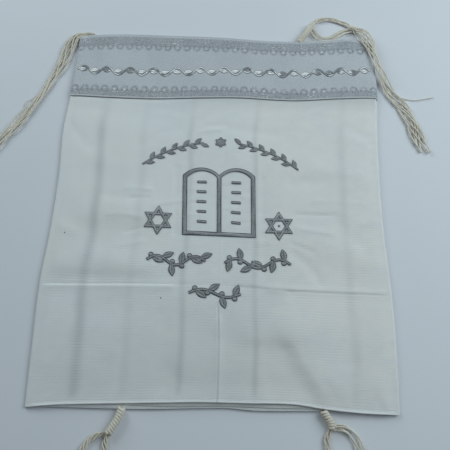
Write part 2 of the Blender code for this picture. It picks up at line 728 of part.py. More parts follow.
def strand_path(tassel, row, slot):
    """One strand of the tail, beside and above its neighbours, fanning out to its end."""
    shorter = 0.035 * ((2 * slot + 3 * row) % 4)
    middle = raised_path(tassel.tail, YARN, STRAND_STEPS)
    path = []
    for k, place in enumerate(middle):
        share = k / STRAND_STEPS
        ahead = middle[min(k + 1, STRAND_STEPS)] - middle[max(k - 1, 0)]
        across = Vector((ahead.y, -ahead.x, 0.0)).normalized()
        gathered = k == 0
        spread = GATHERED if gathered else 1.0 + tassel.spread * ease(share)
        offset = (slot - (STRANDS_A_ROW - 1) / 2) * STRAND_PITCH * spread
        offset += tassel.wave * ease(2 * share) * math.sin(9.0 * share + 1.7 * row)
        height = row * ROW_PITCH
        if gathered:
            height = KNOT / 2 - YARN / 2 + (row - 0.5) * ROW_PITCH * GATHERED
        path.append(place + across * offset + Vector((0.0, 0.0, height)))
    kept = round(STRAND_STEPS * (1 - shorter))
    return path[: kept + 1]


def add_tassel(name, tassel, parts, tools, root):
    group = helpers(name, tools)
    for k, branch in enumerate(tassel.branches):
        path = raised_path(branch, BRANCH, 9)
        tube(f"{name}_branch_{k}", path, BRANCH, 1, group)
    tube(f"{name}_knot", raised_path(tassel.knot, KNOT, 4), KNOT, 2, group, KNOT_SIZES)
    for row in range(ROWS):
        for slot in range(STRANDS_A_ROW):
            tube(f"{name}_strand_{row}_{slot}", strand_path(tassel, row, slot), YARN, 0, group)
    path = raised_path(tassel.stem, STEM, len(STEM_SIZES) - 1)
    stem = joined(tube(name, path, STEM, 2, tools, STEM_SIZES), group, parts)
    return finished(stem, WOOL, root)


def main():
    for old in list(bpy.data.objects):
        bpy.data.objects.remove(old)
    parts = bpy.data.collections.new("tallit")
    tools = bpy.data.collections.new("cutters")
    bpy.context.scene.collection.children.link(parts)
    bpy.context.scene.collection.children.link(tools)
    root = bpy.data.objects.new("tallit_root", None)
    parts.objects.link(root)
    add_front_panel(parts, root)
    add_flaps(parts, root)
    add_band(parts, root)
    add_tablets(parts, root)
    add_stars(parts, root)
    add_sprigs(parts, tools, root)
    for name, tassel in TASSELS.items():
        add_tassel(name, tassel, parts, tools, root)


main()
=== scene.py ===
"""The looks of a child's folded tallit (prayer shawl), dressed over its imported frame.

Lengths are in metres with +Z up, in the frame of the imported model: +Y points to the neck edge and
the packet lies on z = 0. The tables of waves, creases and tassels are in millimetres. The cloth,
its neck band, the embroidery and the seams all lie on one surface, the packet's outer face.
"""

import math
from collections import namedtuple

import bpy
import numpy as np
from mathutils import Matrix, Vector


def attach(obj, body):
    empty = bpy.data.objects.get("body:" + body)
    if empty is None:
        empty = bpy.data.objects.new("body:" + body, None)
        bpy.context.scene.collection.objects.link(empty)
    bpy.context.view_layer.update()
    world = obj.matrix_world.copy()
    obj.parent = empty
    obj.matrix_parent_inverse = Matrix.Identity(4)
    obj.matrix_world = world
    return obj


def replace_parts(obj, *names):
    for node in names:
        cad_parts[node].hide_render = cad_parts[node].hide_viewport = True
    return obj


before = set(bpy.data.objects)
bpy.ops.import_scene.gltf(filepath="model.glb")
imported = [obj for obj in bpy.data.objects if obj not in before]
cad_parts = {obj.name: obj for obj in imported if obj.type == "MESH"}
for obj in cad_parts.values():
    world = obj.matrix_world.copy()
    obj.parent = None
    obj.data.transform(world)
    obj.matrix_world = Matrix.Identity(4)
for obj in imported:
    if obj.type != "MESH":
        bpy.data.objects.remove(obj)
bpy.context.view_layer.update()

UP = np.array([0.0, 0.0, 1.0])

# --- sizes

WIDTH = 0.3615  # across the two side folds
HEIGHT = 0.4450  # from the hem to the neck edge
CLOTH = 0.0006  # thickness of the cotton
CLOTH_TOP = 0.0047  # the front's outer face
TUCK = 0.0040  # where the front cloth is parted from the flaps underneath
HEM_DEPTH, HEM_RISE = 0.0038, 0.0009
HEM_EDGE = 0.0010  # the hem starts to slope this far outside its edge
BAND = 0.0007  # thickness of the woven band
BAND_DEPTH = 0.0860
BAND_RISE = 0.0013  # the band's outer face over the cloth's
BAND_EDGE_RISE = 0.0008  # and at its two sewn edges
BAND_MARGIN = 0.0008  # the cloth shows above the band
BAND_UNDER = 0.2050  # how far the band runs on underneath each flap
NECK_RISE, RAMP = 0.0010, 0.0160  # the packet thickens towards the band, up a ramp
RAMP_GAP = 0.0065  # from the ramp's top to the band's foot
HEM_SINK, HEM_SINK_REACH = 0.0012, 0.0500  # it thins towards the hem
SIDE_SINK, SIDE_SINK_REACH = 0.0008, 0.0130  # and towards its side folds
OUTLINE_REACH = 0.0550  # how far in the waves of its hem and neck edge reach
SIDE_FADE = 0.0150  # creases fade out towards the side folds
BAND_CALM = 0.8  # and this much of each is lost under the band
LIFT_REACH = 0.0200  # of the hem's lifted stretches
LIP_RISE, LIP_REACH, LIP_FADE = 0.0013, 0.0180, 0.0250  # the flaps' hems lie up against the front
FREE_EDGE_SHARE = 0.8850  # where the low flap's free edge lies, across the front
HIGH_FLAP_LIFT, LAP = 0.0021, 0.0140  # the high flap rises over the low one, over this lap
LOW_FLAP_IN, HIGH_FLAP_IN = 0.0006, 0.0014  # the flaps' neck edges lie this far inside the front's

HEM_Y, NECK_Y = -HEIGHT / 2, HEIGHT / 2
BAND_FOOT_Y = NECK_Y - BAND_DEPTH
RAMP_Y = BAND_FOOT_Y - RAMP_GAP - RAMP
FOLD_RADIUS = CLOTH_TOP / 2
FLAT = WIDTH - 2 * FOLD_RADIUS
FLAP = FREE_EDGE_SHARE * FLAT
FOLD = math.pi * FOLD_RADIUS
FRONT_START = FLAP + FOLD  # along the cut, from the low flap's free edge
CUT_LENGTH = 2 * FLAP + 2 * FOLD + FLAT


def curve(*rows):
    """Rows of hundredths of a length and millimetres, as shares and metres."""
    return [(share / 100, size / 1000) for share, size in rows]


# How far outward the outline's edges wave, how they lie under the packet, and the hem's lifts
HEM_WAVES = curve((0, 1.8), (6, -0.5), (22, -3.6), (34, -5.4), (47, -7.3), (60, -7.6), (73, -7.6),
                  (81, -4), (93, -1.4), (100, -1.2))
NECK_WAVES = curve((0, 0.6), (7, 3.7), (33, 4.8), (50, 3.6), (65, 0.3), (76, 0.8), (86, 3.6),
                   (93, 6.4), (100, 1.4))
LEFT_WAVES = curve((0, -0.6), (14, 1.4), (27, 3.4), (42, 0.6), (55, 0.2), (74, 3), (80, 0.4),
                   (100, -1.6))
RIGHT_WAVES = curve((0, -0.6), (17, 1.2), (29, 0.6), (42, -2.2), (68, -1.6), (81, 1), (86, 1.2),
                    (100, -0.6))
BAND_FOOT_WAVES = curve((0, -3.4), (14, -5.1), (26, -5.4), (44, -2), (52, -0.8), (75, -2.3),
                        (87, 1.6), (100, 4.8))
LOW_FLAP_HEM = curve((0, 0.8), (10, 0.6), (34, -0.2), (47, -2.4), (54, -3.2), (60, -1.8),
                     (76, -2.6), (90, -3), (100, -3))
HIGH_FLAP_HEM = curve((0, -6), (12, -5), (34, -3), (54, -5), (66, -4.4), (80, -5.2), (100, -4))
HEM_LIFTS = curve((0, 0), (16, 0.2), (30, 0.9), (44, 1.9), (53, 1.1), (62, 1.6), (78, 0.6),
                  (100, 0))

# Creases and swells of the front cloth, in millimetres: the ends of a line, a height, the spreads
# to the line's left and right, and sometimes how far it bows to its left
Crease = namedtuple("Crease", "x0 y0 x1 y1 height left right bow", defaults=(0.0,))
SOFT = (
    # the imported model's own
    (-180, -99.5, -48, -96.5, 1, 5, 5), (56, -99, 180, -102.2, 0.8, 4.5, 4.5),
    (4.5, -135, 6.6, -220, 0.8, 4.5, 4.5), (-145, -150, -50, -142, 0.8, 20, 20),
    (-140, -64, -110, -70, 1, 13, 13), (110, -50, 150, -64, 0.9, 15, 15),
    (-145, 52, -115, 48, 0.9, 14, 14), (115, 40, 150, 32, 0.8, 15, 15),
    # the soft fold down to the right
    (38, -149, 76, -149, 1.6, 22, 9.5), (81, -157, 106, -197, 3.4, 46, 10.5, -1),
    (116, -194, 127, -210, 0.4, 14, 4), (159, -198, 170, -215, 0.5, 12, 4),
    # beside and between the stars and the tablets, where the stitching draws the cloth in
    (-140, -19.5, -83, -18.5, 1.6, 20, 12), (-156, -80, -79, -78.5, 1.5, 18, 10),
    (-130, 6, -98, 0, -0.6, 6, 6), (79.7, -58.3, 107.2, -90.9, -0.8, 5.5, 5.5, 3),
    (80.9, 25, 144.4, 30, -0.8, 8, 8, 2), (123.7, -14.9, 164.4, -55.7, -0.4, 7, 7, -3),
    (-50, 41.5, -46.2, -39.2, -0.6, 2.8, 2.8), (46.7, 30, 47, -40, -0.6, 3, 3),
    # over and under the sprigs
    (20, 93, 60, 88, -0.6, 7, 7), (-90, 70, -50, 93, -0.5, 6, 6, 4),
    (-60, -101, -34, -92, 0.5, 6, 6), (35, -93, 64, -100, 0.4, 5, 5),
    # along the side folds and the band
    (-178, 95, -150, 65, -0.6, 6, 6), (178, 80, 148, 98, -0.6, 7, 7),
    (176, -15, 156, -22, 0.7, 6, 6), (-178, -30, -156, -40, 0.6, 6, 6),
    (-130, 118, -60, 112, 0.4, 6, 6, 2), (50, 112, 130, 118, 0.4, 6, 6, 2),
    # broad hollows over the flaps' stripes
    (-118, 50, -130, -86, -1.6, 12.5, 12.5), (-50, -130, -48, -200, -0.6, 9, 9),
    (48, 70, 49, -90, -0.5, 7, 7),
    # up from the hem
    (-100, -215, -96, -170, 0.5, 5, 5), (-45, -213, -40, -185, -0.6, 6, 6),
    (50, -213, 48, -193, 0.6, 5.5, 5.5), (145, -215, 142, -175, -0.5, 7, 7),
    (-34, -193, -33.5, -204, -0.7, 8, 8), (-98, -185, -97.5, -196, -0.6, 10, 10),
)
SHARP = (
    # the crease across the packet, where it was folded in half
    (-180.5, -99.8, -48, -96.7, -2, 7.5, 1.3), (-48, -96.7, 24, -97.2, -0.4, 4, 1.6),
    (24, -97.2, 76, -100.6, -0.7, 1.2, 6), (76, -100.6, 180, -102, -1.2, 1.2, 8),
    # the crease down its middle
    (4.1, -117.8, 6.2, -219, 0.9, 0.9, 1.6, 1), (2, -117.8, 4, -219, -0.6, 1.1, 0.9, 1),
    (3.2, -47, 3.9, -117.8, 0.3, 1.2, 1.2),
    # beside and between the stars and the tablets, where the stitching draws the cloth in
    (-104, 13, -76, 11.8, 0.9, 2.4, 1.2, 1.2), (-98.5, 2.2, -79, 3, -0.9, 1.2, 2.4),
    (-69, -7, -40, -1, 0.7, 4, 1.4, 1), (-120, -19, -85, -22.5, 0.7, 3, 1.4, 1),
    (-101, -40, -80, -33, -0.8, 2, 1.2), (-106, -56, -80, -50, 0.6, 3, 1.6),
    (84.7, -11.4, 123.8, -11.3, -1, 1.2, 4, -1.2), (85, -30, 119, -35, 0.9, 3, 1.4),
    (79, -47, 101, -56, -0.8, 1.4, 3), (105, 4, 156, 2, 0.4, 6, 2),
    (-36.5, 15, -23, 15.8, 0.6, 1.8, 1), (-36, -3, -25, -2, -0.6, 1, 2),
    (-35, -17, -18, -17.5, 0.6, 2, 1), (3, 19, 15, 20, -0.6, 1, 2), (25, 6, 35, 5, 0.6, 1.8, 1),
    (4, -8, 16, -8.5, 0.6, 1.8, 1), (22, -25, 34.5, -24, -0.6, 1, 2),
    # over and under the sprigs
    (-25.4, 87, -2.5, 91.8, 0.9, 3, 1.4, 1.5), (-18, 98.5, 6, 99.5, -0.7, 2, 4),
    (6, 52, 8, 64, 0.4, 1.4, 2.6), (-20, -52, -6, -49, 0.4, 2, 1.2),
    (42, -50, 56, -48, 0.4, 2, 1.2),
)
CREASES = [(Crease(*(value / 1000 for value in row)), power)
           for rows, power in ((SOFT, 2.0), (SHARP, 1.0)) for row in rows]

# The slow swell of the whole front: wavelengths along x and y, a shift and a height
ROLLS = ((0.150, 0.900, 0.4, 0.00022), (0.071, -0.310, 1.9, 0.00016), (0.400, 0.083, 3.1, 0.00020),
         (-0.047, 0.190, 0.8, 0.00010), (0.220, 0.047, 5.0, 0.00010))

# A round edge's three rows: how far each lies past the straight edge and outside the face
EDGE_ROLL = np.array([(-0.0002, -0.0009), (0.0, -0.0005), (-0.0001, -0.0002)])
EDGE_IN = 0.0004  # the next row

# Where stretches of rows start and how close the rows are, with the closest at hem and creases
FRONT_ROWS = ((HEM_Y + EDGE_IN, 0.0008), (HEM_Y + 0.0060, 0.0021), (-0.1040, 0.0008),
              (-0.0920, 0.0021))
FLAP_ROWS = ((HEM_Y + EDGE_IN, 0.0010), (HEM_Y + 0.0060, 0.0040), (RAMP_Y, 0.0020),
             (BAND_FOOT_Y, 0.0040))
FINE_START, FINE_END, FINE_PITCH = 0.1780, 0.1900, 0.0006  # columns at the crease down the middle

# --- curves and tables


def read(table, share):
    """The second column at these shares, on a smooth curve through the rows."""
    at, values = np.array(table).T
    slopes = np.gradient(values, at)
    share = np.clip(share, at[0], at[-1])
    k = np.clip(np.searchsorted(at, share, side="right") - 1, 0, len(at) - 2)
    span = at[k + 1] - at[k]
    t = (share - at[k]) / span
    start = (1 + 2 * t) * (1 - t) ** 2 * values[k] + t * (1 - t) ** 2 * span * slopes[k]
    end = t * t * (3 - 2 * t) * values[k + 1] + t * t * (t - 1) * span * slopes[k + 1]
    return start + end


def ease(t):
    """A smooth step from 0 to 1."""
    t = np.clip(t, 0.0, 1.0)
    return t * t * (3 - 2 * t)


def spaced(stretches, end):
    """Values on to the end through stretches, each with its start and its pitch."""
    starts, pitches = zip(*stretches)
    values = [starts[:1]]
    for start, stop, pitch in zip(starts, (*starts[1:], end), pitches):
        values.append(np.linspace(start, stop, max(1, round((stop - start) / pitch)) + 1)[1:])
    return np.concatenate(values)


def together(*columns):
    """Places, or rows, from their columns."""
    return np.stack(np.broadcast_arrays(*columns), axis=-1)


def distances(path):
    steps = np.linalg.norm(np.diff(path, axis=0), axis=1)
    return np.concatenate([[0.0], np.cumsum(steps)])


def resampled(path, pitch):
    """Even distances along a path, and the points there."""
    lengths = distances(path)
    wanted = np.linspace(0, lengths[-1], max(3, round(lengths[-1] / pitch)) + 1)
    return wanted, together(*(np.interp(wanted, lengths, column) for column in path.T))


def smooth_path(points, pitch):
    """Points at this pitch along a smooth curve through these."""
    at = np.arange(len(points))
    fine = np.linspace(0, at[-1], 24 * at[-1] + 1)
    columns = (read(together(at, column), fine) for column in points.T)
    return resampled(together(*columns), pitch)[1]


def unit(vectors):
    return vectors / np.linalg.norm(vectors, axis=-1, keepdims=True)


def directions(path):
    return unit(np.gradient(path, axis=0))


def level_across(path):
    """The level direction to the right of a path at each of its points."""
    return unit(np.cross(directions(path), UP))


def untwisted_frame(path):
    """Two directions square to a path that turn with it as little as they can."""
    ahead = directions(path)
    across = np.empty_like(ahead)
    side = np.cross(ahead[0], UP)
    for k, direction in enumerate(ahead):
        side = side - direction * side.dot(direction)
        side = side / math.sqrt(side.dot(side))
        across[k] = side
    return across, np.cross(across, ahead)


def polar(radius, degrees):
    turn = np.radians(degrees)
    return together(radius * np.cos(turn), radius * np.sin(turn))


# --- the packet's surface


def cloth_top(y):
    thinned = HEM_SINK * (1 - ease((y - HEM_Y) / HEM_SINK_REACH))
    return CLOTH_TOP - thinned + NECK_RISE * ease((y - RAMP_Y) / RAMP)


def cloth_base(y):
    return BAND_RISE * ease((y - RAMP_Y - RAMP / 2) / (RAMP / 2))


def sides_at(y):
    share = (y - HEM_Y) / HEIGHT
    return -WIDTH / 2 - read(LEFT_WAVES, share), WIDTH / 2 + read(RIGHT_WAVES, share)


def outlined(y, hem_out, neck_out):
    """Moves straight rows to follow the edges' waves."""
    near_hem = np.maximum(0.0, 1 - (y - HEM_Y) / OUTLINE_REACH)
    near_neck = np.maximum(0.0, 1 - (NECK_Y - y) / OUTLINE_REACH)
    return y - near_hem * hem_out + near_neck * neck_out


def crease_height(x, y, crease, power):
    """Falls off from a crease's line: as a soft hump or, with a power of 1, as a sharp edge."""
    run, rise = crease.x1 - crease.x0, crease.y1 - crease.y0
    length = math.hypot(run, rise)
    along = ((x - crease.x0) * run + (y - crease.y0) * rise) / length
    left = ((y - crease.y0) * run - (x - crease.x0) * rise) / length
    t = np.clip(along / length, 0, 1)
    left = left - 4 * t * (1 - t) * crease.bow
    away = np.hypot(along - t * length, left) + 1e-9
    spread = crease.right + (crease.left - crease.right) * (0.5 + 0.5 * left / away)
    return crease.height * np.exp(-(away / spread) ** power)


def relief(x, y):
    """How far the creases, the swells and the lifted hem raise the front cloth."""
    left, right = sides_at(y)
    share = (x - left) / (right - left)
    raised = sum(crease_height(x, y, crease, power) for crease, power in CREASES)
    raised += sum(height * np.sin(math.tau * (x / across + y / up) + shift)
                  for across, up, shift, height in ROLLS)
    from_hem = y - HEM_Y + read(HEM_WAVES, share)
    raised += read(HEM_LIFTS, share) * (1 - ease(from_hem / LIFT_REACH))
    raised += HEM_RISE * (1 - ease((from_hem + HEM_EDGE) / (HEM_DEPTH + HEM_EDGE)))
    inset = np.minimum(x - left, right - x)
    sunk = SIDE_SINK * (1 - ease((inset - FOLD_RADIUS) / SIDE_SINK_REACH))
    return raised * ease(inset / SIDE_FADE) * (1 - BAND_CALM * ease((y - RAMP_Y) / RAMP)) - sunk


def front_height(x, y):
    """The height of the front cloth's outer face."""
    return cloth_top(y) + relief(x, y)


# Columns across the cut: the place along it, the share of the front's width, which side, the turn
# round a side fold (0 on the front, pi underneath) and how far in under the packet
Columns = namedtuple("Columns", "along share side turn inset")


def columns_at(places):
    """The columns at places across the cut that are counted from the front's left edge."""
    beyond = np.maximum(0.0, np.maximum(-places, places - FLAT))
    share = np.clip(places / FLAT, 0.0, 1.0)
    return Columns(FRONT_START + places, share, np.where(share < 0.5, -1.0, 1.0),
                   np.minimum(beyond / FOLD_RADIUS, math.pi), np.maximum(0.0, beyond - FOLD))


def columns_round(left, right, pitch, under_pitch, steps=8):
    """Columns from this far underneath on the left, round both folds, to this far on the right."""
    fine, step = min(pitch, FINE_PITCH), FOLD / steps
    return columns_at(spaced((
        (-FOLD - left, under_pitch), (-FOLD, step), (0.0, pitch), (FINE_START, fine),
        (FINE_END, pitch), (FLAT, step), (FLAT + FOLD, under_pitch)), FLAT + FOLD + right))


def edge_waves(columns):
    """How far the hem and the neck edge lie outside the straight ones in each column."""
    low_side = columns.side < 0
    in_under = columns.inset / FLAT
    under_share = np.where(low_side, in_under, 1 - in_under)
    round_share = columns.turn / math.pi
    share = columns.share + (under_share - columns.share) * round_share
    under_hem = np.where(low_side, read(LOW_FLAP_HEM, share), read(HIGH_FLAP_HEM, share))
    front_hem = read(HEM_WAVES, columns.share)
    neck = read(NECK_WAVES, share) - np.where(low_side, LOW_FLAP_IN, HIGH_FLAP_IN) * round_share
    return front_hem + (under_hem - front_hem) * round_share, neck


def packet(columns, y, out):
    """Points on the packet's outer face, or this far outside it, for each row and column."""
    left, right = sides_at(y)
    radius = (cloth_top(y) - cloth_base(y)) / 2
    flat_left = left + radius
    x = flat_left + (right - radius - flat_left) * columns.share
    x = x + columns.side * ((radius + out) * np.sin(columns.turn) - columns.inset)
    z = cloth_base(y) + radius + (radius + out) * np.cos(columns.turn)
    sunk = -SIDE_SINK * (1 + np.cos(columns.turn)) / 2
    z = z + np.where(columns.turn == 0, relief(x, y), sunk)
    z = z + np.where(columns.turn > 3, flap_lift(columns, flat_left, x, y), 0.0)
    return together(x, y, z)


def flap_lift(columns, flat_left, x, y):
    """How far the flaps lie up: the high one over the low one, and both at their hems."""
    lapped = ease((flat_left + FLAP + LAP / 2 - x) / LAP) * (columns.side > 0)
    lip = LIP_RISE * (1 - ease((y - HEM_Y) / LIP_REACH)) * ease(columns.inset / LIP_FADE)
    return HIGH_FLAP_LIFT * lapped + lip * (1 - 0.8 * lapped)


def band_edges(columns):
    """The band's foot and its edge along the neck, in each column."""
    foot_out = read(BAND_FOOT_WAVES, columns.share) * (1 - columns.turn / math.pi)
    return BAND_FOOT_Y + foot_out, NECK_Y + edge_waves(columns)[1] - BAND_MARGIN


# --- making pieces

PLY_RELIEF = 0.16  # of a yarn's radius


def add_object(name, data):
    thing = bpy.data.objects.new(name, data)
    bpy.context.scene.collection.objects.link(thing)
    return thing


def add_piece(name, points, faces, shader):
    """A smooth mesh that rides with the packet, in this material."""
    mesh = bpy.data.meshes.new(name)
    mesh.from_pydata(points.reshape(-1, 3).tolist(), [], faces)
    mesh.shade_smooth()
    mesh.materials.append(shader)
    piece = add_object(name, mesh)
    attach(piece, "root")
    return piece


def grid_faces(rows, columns, closed=False):
    """Quads between the points of a grid, which may close on itself across."""
    corner = np.arange(rows * columns).reshape(rows, columns)
    if closed:
        corner = np.hstack([corner, corner[:, :1]])
    return np.stack([corner[:-1, :-1], corner[:-1, 1:], corner[1:, 1:], corner[1:, :-1]],
                    axis=-1).reshape(-1, 4)


def add_sheet(name, points, columns, heights, wall, shader, slot):
    """A thin sheet through a grid of points, with its places on the flat cut as its UV map."""
    faces = grid_faces(*points.shape[:2])
    piece = add_piece(name, points, faces.tolist(), shader)
    flat = together(columns.along, heights).reshape(-1, 2)
    piece.data.uv_layers.new(name="Cut").data.foreach_set("uv", flat[faces.ravel()].ravel())
    solid = piece.modifiers.new("Wall", "SOLIDIFY")
    solid.thickness = wall
    solid.offset = -1.0
    solid.use_even_offset = True
    return piece


def add_bodies(name, bundle, shader):
    """A piece of closed bodies through rings: each of the bundle's arrays has some of them."""
    faces, start = [], 0
    for rings in bundle:
        bodies, count, sides = rings.shape[:3]
        quads = grid_faces(count, sides, closed=True)[:, ::-1]
        near = np.arange(sides)
        far = near[::-1] + (count - 1) * sides
        for _ in range(bodies):
            faces += [*(quads + start).tolist(), (near + start).tolist(), (far + start).tolist()]
            start += count * sides
    points = np.concatenate([rings.reshape(-1, 3) for rings in bundle])
    return add_piece(name, points, faces, shader)


def yarn(path, thickness, sides=6, plies=0, lay=0.0045, sizes=1.0):
    """Rings of a tube along a path. Its plies stand out as lobes that turn round once each lay."""
    across, up = untwisted_frame(path)
    turn = np.linspace(0, math.tau, sides, endpoint=False)[None, :]
    radius = thickness / 2 * np.broadcast_to(sizes, len(path))[:, None] * np.ones_like(turn)
    if plies:
        twist = math.tau * distances(path)[:, None] / lay
        radius = radius * (1 + PLY_RELIEF * np.cos(plies * (turn - twist))) / (1 + PLY_RELIEF / 2)
    side = across[:, None] * (radius * np.cos(turn))[..., None]
    rise = up[:, None] * (radius * np.sin(turn))[..., None]
    return (path[:, None] + side + rise)[None]


# --- shaders


def field(tree, kind, output, entries, **settings):
    """A new node's output, which depends on these values or fields on its entries."""
    node = tree.nodes.new("ShaderNode" + kind)
    for setting, value in settings.items():
        setattr(node, setting, value)
    for entry, value in entries.items():
        if isinstance(value, Field):
            tree.links.new(value.socket, node.inputs[entry])
        else:
            node.inputs[entry].default_value = value
    return Field(tree, node.outputs[output])


class Field:
    """A number, colour or place that varies over a surface, put together from nodes."""

    def __init__(self, tree, socket):
        self.tree, self.socket = tree, socket

    def math(self, operation, *others):
        return field(self.tree, "Math", 0, dict(enumerate((self, *others))), operation=operation)

    def __add__(self, other):
        return self.math("ADD", other)

    def __sub__(self, other):
        return self.math("SUBTRACT", other)

    def __mul__(self, other):
        return self.math("MULTIPLY", other)

    __radd__, __rmul__ = __add__, __mul__

    def __rsub__(self, other):
        return self * -1.0 + other

    def hypot(self, other):
        return (self * self + other * other).math("SQRT")

    def bell(self, centre, width):
        """1 at the centre, falling off on both sides."""
        away = (self - centre) * (1.0 / width)
        return (away * away * -1.0).math("EXPONENT")

    def step(self, low, high):
        """A smooth step from 0 at the first value to 1 at the second."""
        entries = {"Value": self, "From Min": low, "From Max": high}
        return field(self.tree, "MapRange", "Result", entries, interpolation_type="SMOOTHSTEP")

    def below(self, place, soft):
        """1 below this place and 0 above it, with an edge this soft to each side."""
        return 1.0 - self.step(place - soft, place + soft)

    def between(self, low, high, soft):
        return self.step(low - soft, low + soft) * self.below(high, soft)

    def wave(self, pitch):
        """A ripple from -1 to 1 with this pitch."""
        return (self * (math.tau / pitch)).math("SINE")

    def parts(self):
        """The x, y and z of a place."""
        return [field(self.tree, "SeparateXYZ", k, {0: self}) for k in range(3)]


class Shader:
    """A Principled material that is put together from fields."""

    def __init__(self, name, finish):
        self.material = bpy.data.materials.new(name)
        self.material.use_nodes = True
        self.tree = self.material.node_tree
        self.surface = self.tree.nodes["Principled BSDF"].inputs
        for entry, value in {"Specular IOR Level": 0.3, **finish}.items():
            self.surface[entry].default_value = value

    def cut_place(self):
        """The flat place on a sheet, in metres along and across its cut."""
        return field(self.tree, "UVMap", "UV", {}, uv_map="Cut")

    def place(self):
        """The place on the object, in metres."""
        return field(self.tree, "TexCoord", "Object", {})

    def noise(self, scale, detail=2.0, stretch=(1.0, 1.0, 1.0), seed=0.0):
        """Even noise from 0 to 1 over the object, with features of about 1 / scale metres."""
        entries = {"Vector": self.place(), "Scale": stretch, "Location": (seed, seed, 0.0)}
        moved = field(self.tree, "Mapping", "Vector", entries)
        entries = {"Vector": moved, "Scale": scale, "Detail": detail}
        return field(self.tree, "TexNoise", "Fac", entries)

    def mix(self, amount, low, high):
        """A colour between two others, of which each may be a field."""
        low, high = ((*colour, 1.0) if isinstance(colour, tuple) else colour
                     for colour in (low, high))
        entries = {"Factor": amount, 6: low, 7: high}
        return field(self.tree, "Mix", 2, entries, data_type="RGBA")

    def finished(self, colour, height=None, depth=0.00020):
        """The material in this colour, raised by up to this depth where the height is 1."""
        self.tree.links.new(colour.socket, self.surface["Base Color"])
        if height:
            bump = field(self.tree, "Bump", "Normal", {"Height": height, "Distance": depth})
            self.tree.links.new(bump.socket, self.surface["Normal"])
        return self.material


# --- materials

WHITE = (0.930, 0.918, 0.915)
WHITE_COOL = (0.895, 0.910, 0.945)
WHITE_WARM = (0.955, 0.916, 0.892)
WHITE_SHADE = (0.812, 0.826, 0.850)
HEM_WHITE = (0.975, 0.980, 0.990)
SHADOW_SHADE = (0.520, 0.540, 0.560)
STRIPE = (0.165, 0.175, 0.215)
SPECK = (0.150, 0.130, 0.120)
RIB_PITCH = 0.0029
WEFT_PITCH, WARP_PITCH = 0.00072, 0.00060

# Where the flaps' stripes show through the front: the share of its width, half their width,
# and how dark they are
SHADOWS = ((0.121, 0.0058, 0.53), (0.256, 0.0050, 0.17), (0.408, 0.0037, 0.37),
           (0.615, 0.0033, 0.34), (0.890, 0.0053, 0.25))
SHADOW_LOW, SHADOW_HIGH = (0.002, 0.012), (0.300, 0.350)  # they set in and fade up here
FOOT_SHADE = (0.340, 0.362)  # painted shadow under the band, from here up, most of all to the right of this
FOOT_SHADE_SIDE = (0.100, 0.150)
PAINTED_LIGHT_UP, PAINTED_LIGHT_SIDE = (0.100, 0.240), (0.040, 0.210)  # painted light: whiter above this and left of that
WARM_SIDE = (0.180, 0.245)  # warmer from here to the right
DIM_SHADE, DIM_AT, DIM_WIDTH, DIM_TOP = 0.24, 0.50, 0.092, (0.060, 0.145)  # painted shade over the lower middle of the front
STRIPES = (0.0060, 0.0500, 0.0990)  # woven in, this far from each free edge
STRIPE_WIDTH = 0.0044
STRIPE_END = 0.0110  # above the hem
SPECKS = ((-0.1646, -0.0424), (-0.0567, -0.1119))  # of lint


def plain_cotton(shader, height, side, ribs, uneven):
    """White, cooler in patches and warmer on the right, under clouds of a soft shade, with painted
    light at the top left.
    """
    cloudy = shader.noise(11.0, 3.0, seed=7.0)
    mottled = shader.noise(75.0, stretch=(1.0, 1.6, 1.0), seed=31.0)
    # painted light: the cloth is painted whiter towards its top left
    painted_light = height.step(*PAINTED_LIGHT_UP) * (1.0 - side.step(*PAINTED_LIGHT_SIDE))
    shade = cloudy * 0.9 + mottled * 0.45 + uneven * 0.30 + ribs * -0.055 - painted_light * 0.28 - 0.28
    white = shader.mix(shader.noise(13.0, seed=21.0).step(0.36, 0.64), WHITE, WHITE_COOL)
    white = shader.mix(side.step(*WARM_SIDE), white, WHITE_WARM)
    return shader.mix(shade.step(0.25, 0.95), white, WHITE_SHADE)


def shade_on_front(shader, height, side, ribs):
    """Painted shade on the front: its flaps' stripes, a line along the hem, its lower middle, under
    the band.
    """
    # painted shade where the flaps' stripes show through the front
    wandering = side + (shader.noise(16.0, stretch=(0.2, 1.0, 1.0), seed=2.0) - 0.5) * 0.006
    stripes = sum(wandering.bell(share * FLAT, width) * dark for share, width, dark in SHADOWS)
    patchy = shader.noise(26.0, stretch=(0.5, 1.0, 1.0), seed=5.0) * 0.9 + ribs * -0.22 + 0.55
    ends = height.step(*SHADOW_LOW) * (1.0 - height.step(*SHADOW_HIGH) * 0.7)
    # painted shade: a broad darkening over the lower middle of the front
    dim_shade = side.bell(DIM_AT * FLAT, DIM_WIDTH) * (1.0 - height.step(*DIM_TOP))
    # painted shade: a dark line along the hem's inner edge
    hem_line_shade = height.bell(HEM_DEPTH + 0.0006, 0.0005) * 0.22
    # painted shadow below the band's foot, strongest to the right
    band_foot_shadow = height.step(*FOOT_SHADE) * (side.step(*FOOT_SHADE_SIDE) * 0.46 + 0.12)
    return stripes * patchy * ends + dim_shade * DIM_SHADE + hem_line_shade + band_foot_shadow


def woven_stripes(along, height):
    """1 in the stripes along both free edges of the cut."""
    from_edge = CUT_LENGTH / 2 - (along - CUT_LENGTH / 2).math("ABSOLUTE")
    woven = sum(from_edge.between(near, near + STRIPE_WIDTH, 0.0004) for near in STRIPES)
    return woven * height.between(STRIPE_END, HEIGHT - STRIPE_END, 0.0008)


def lint(shader):
    """1 in the specks."""
    x, y, _ = shader.place().parts()
    return sum(1.0 - ((x - at_x) * (x - at_x) + (y - at_y) * (y - at_y)).step(2.0e-7, 9.0e-7)
               for at_x, at_y in SPECKS)


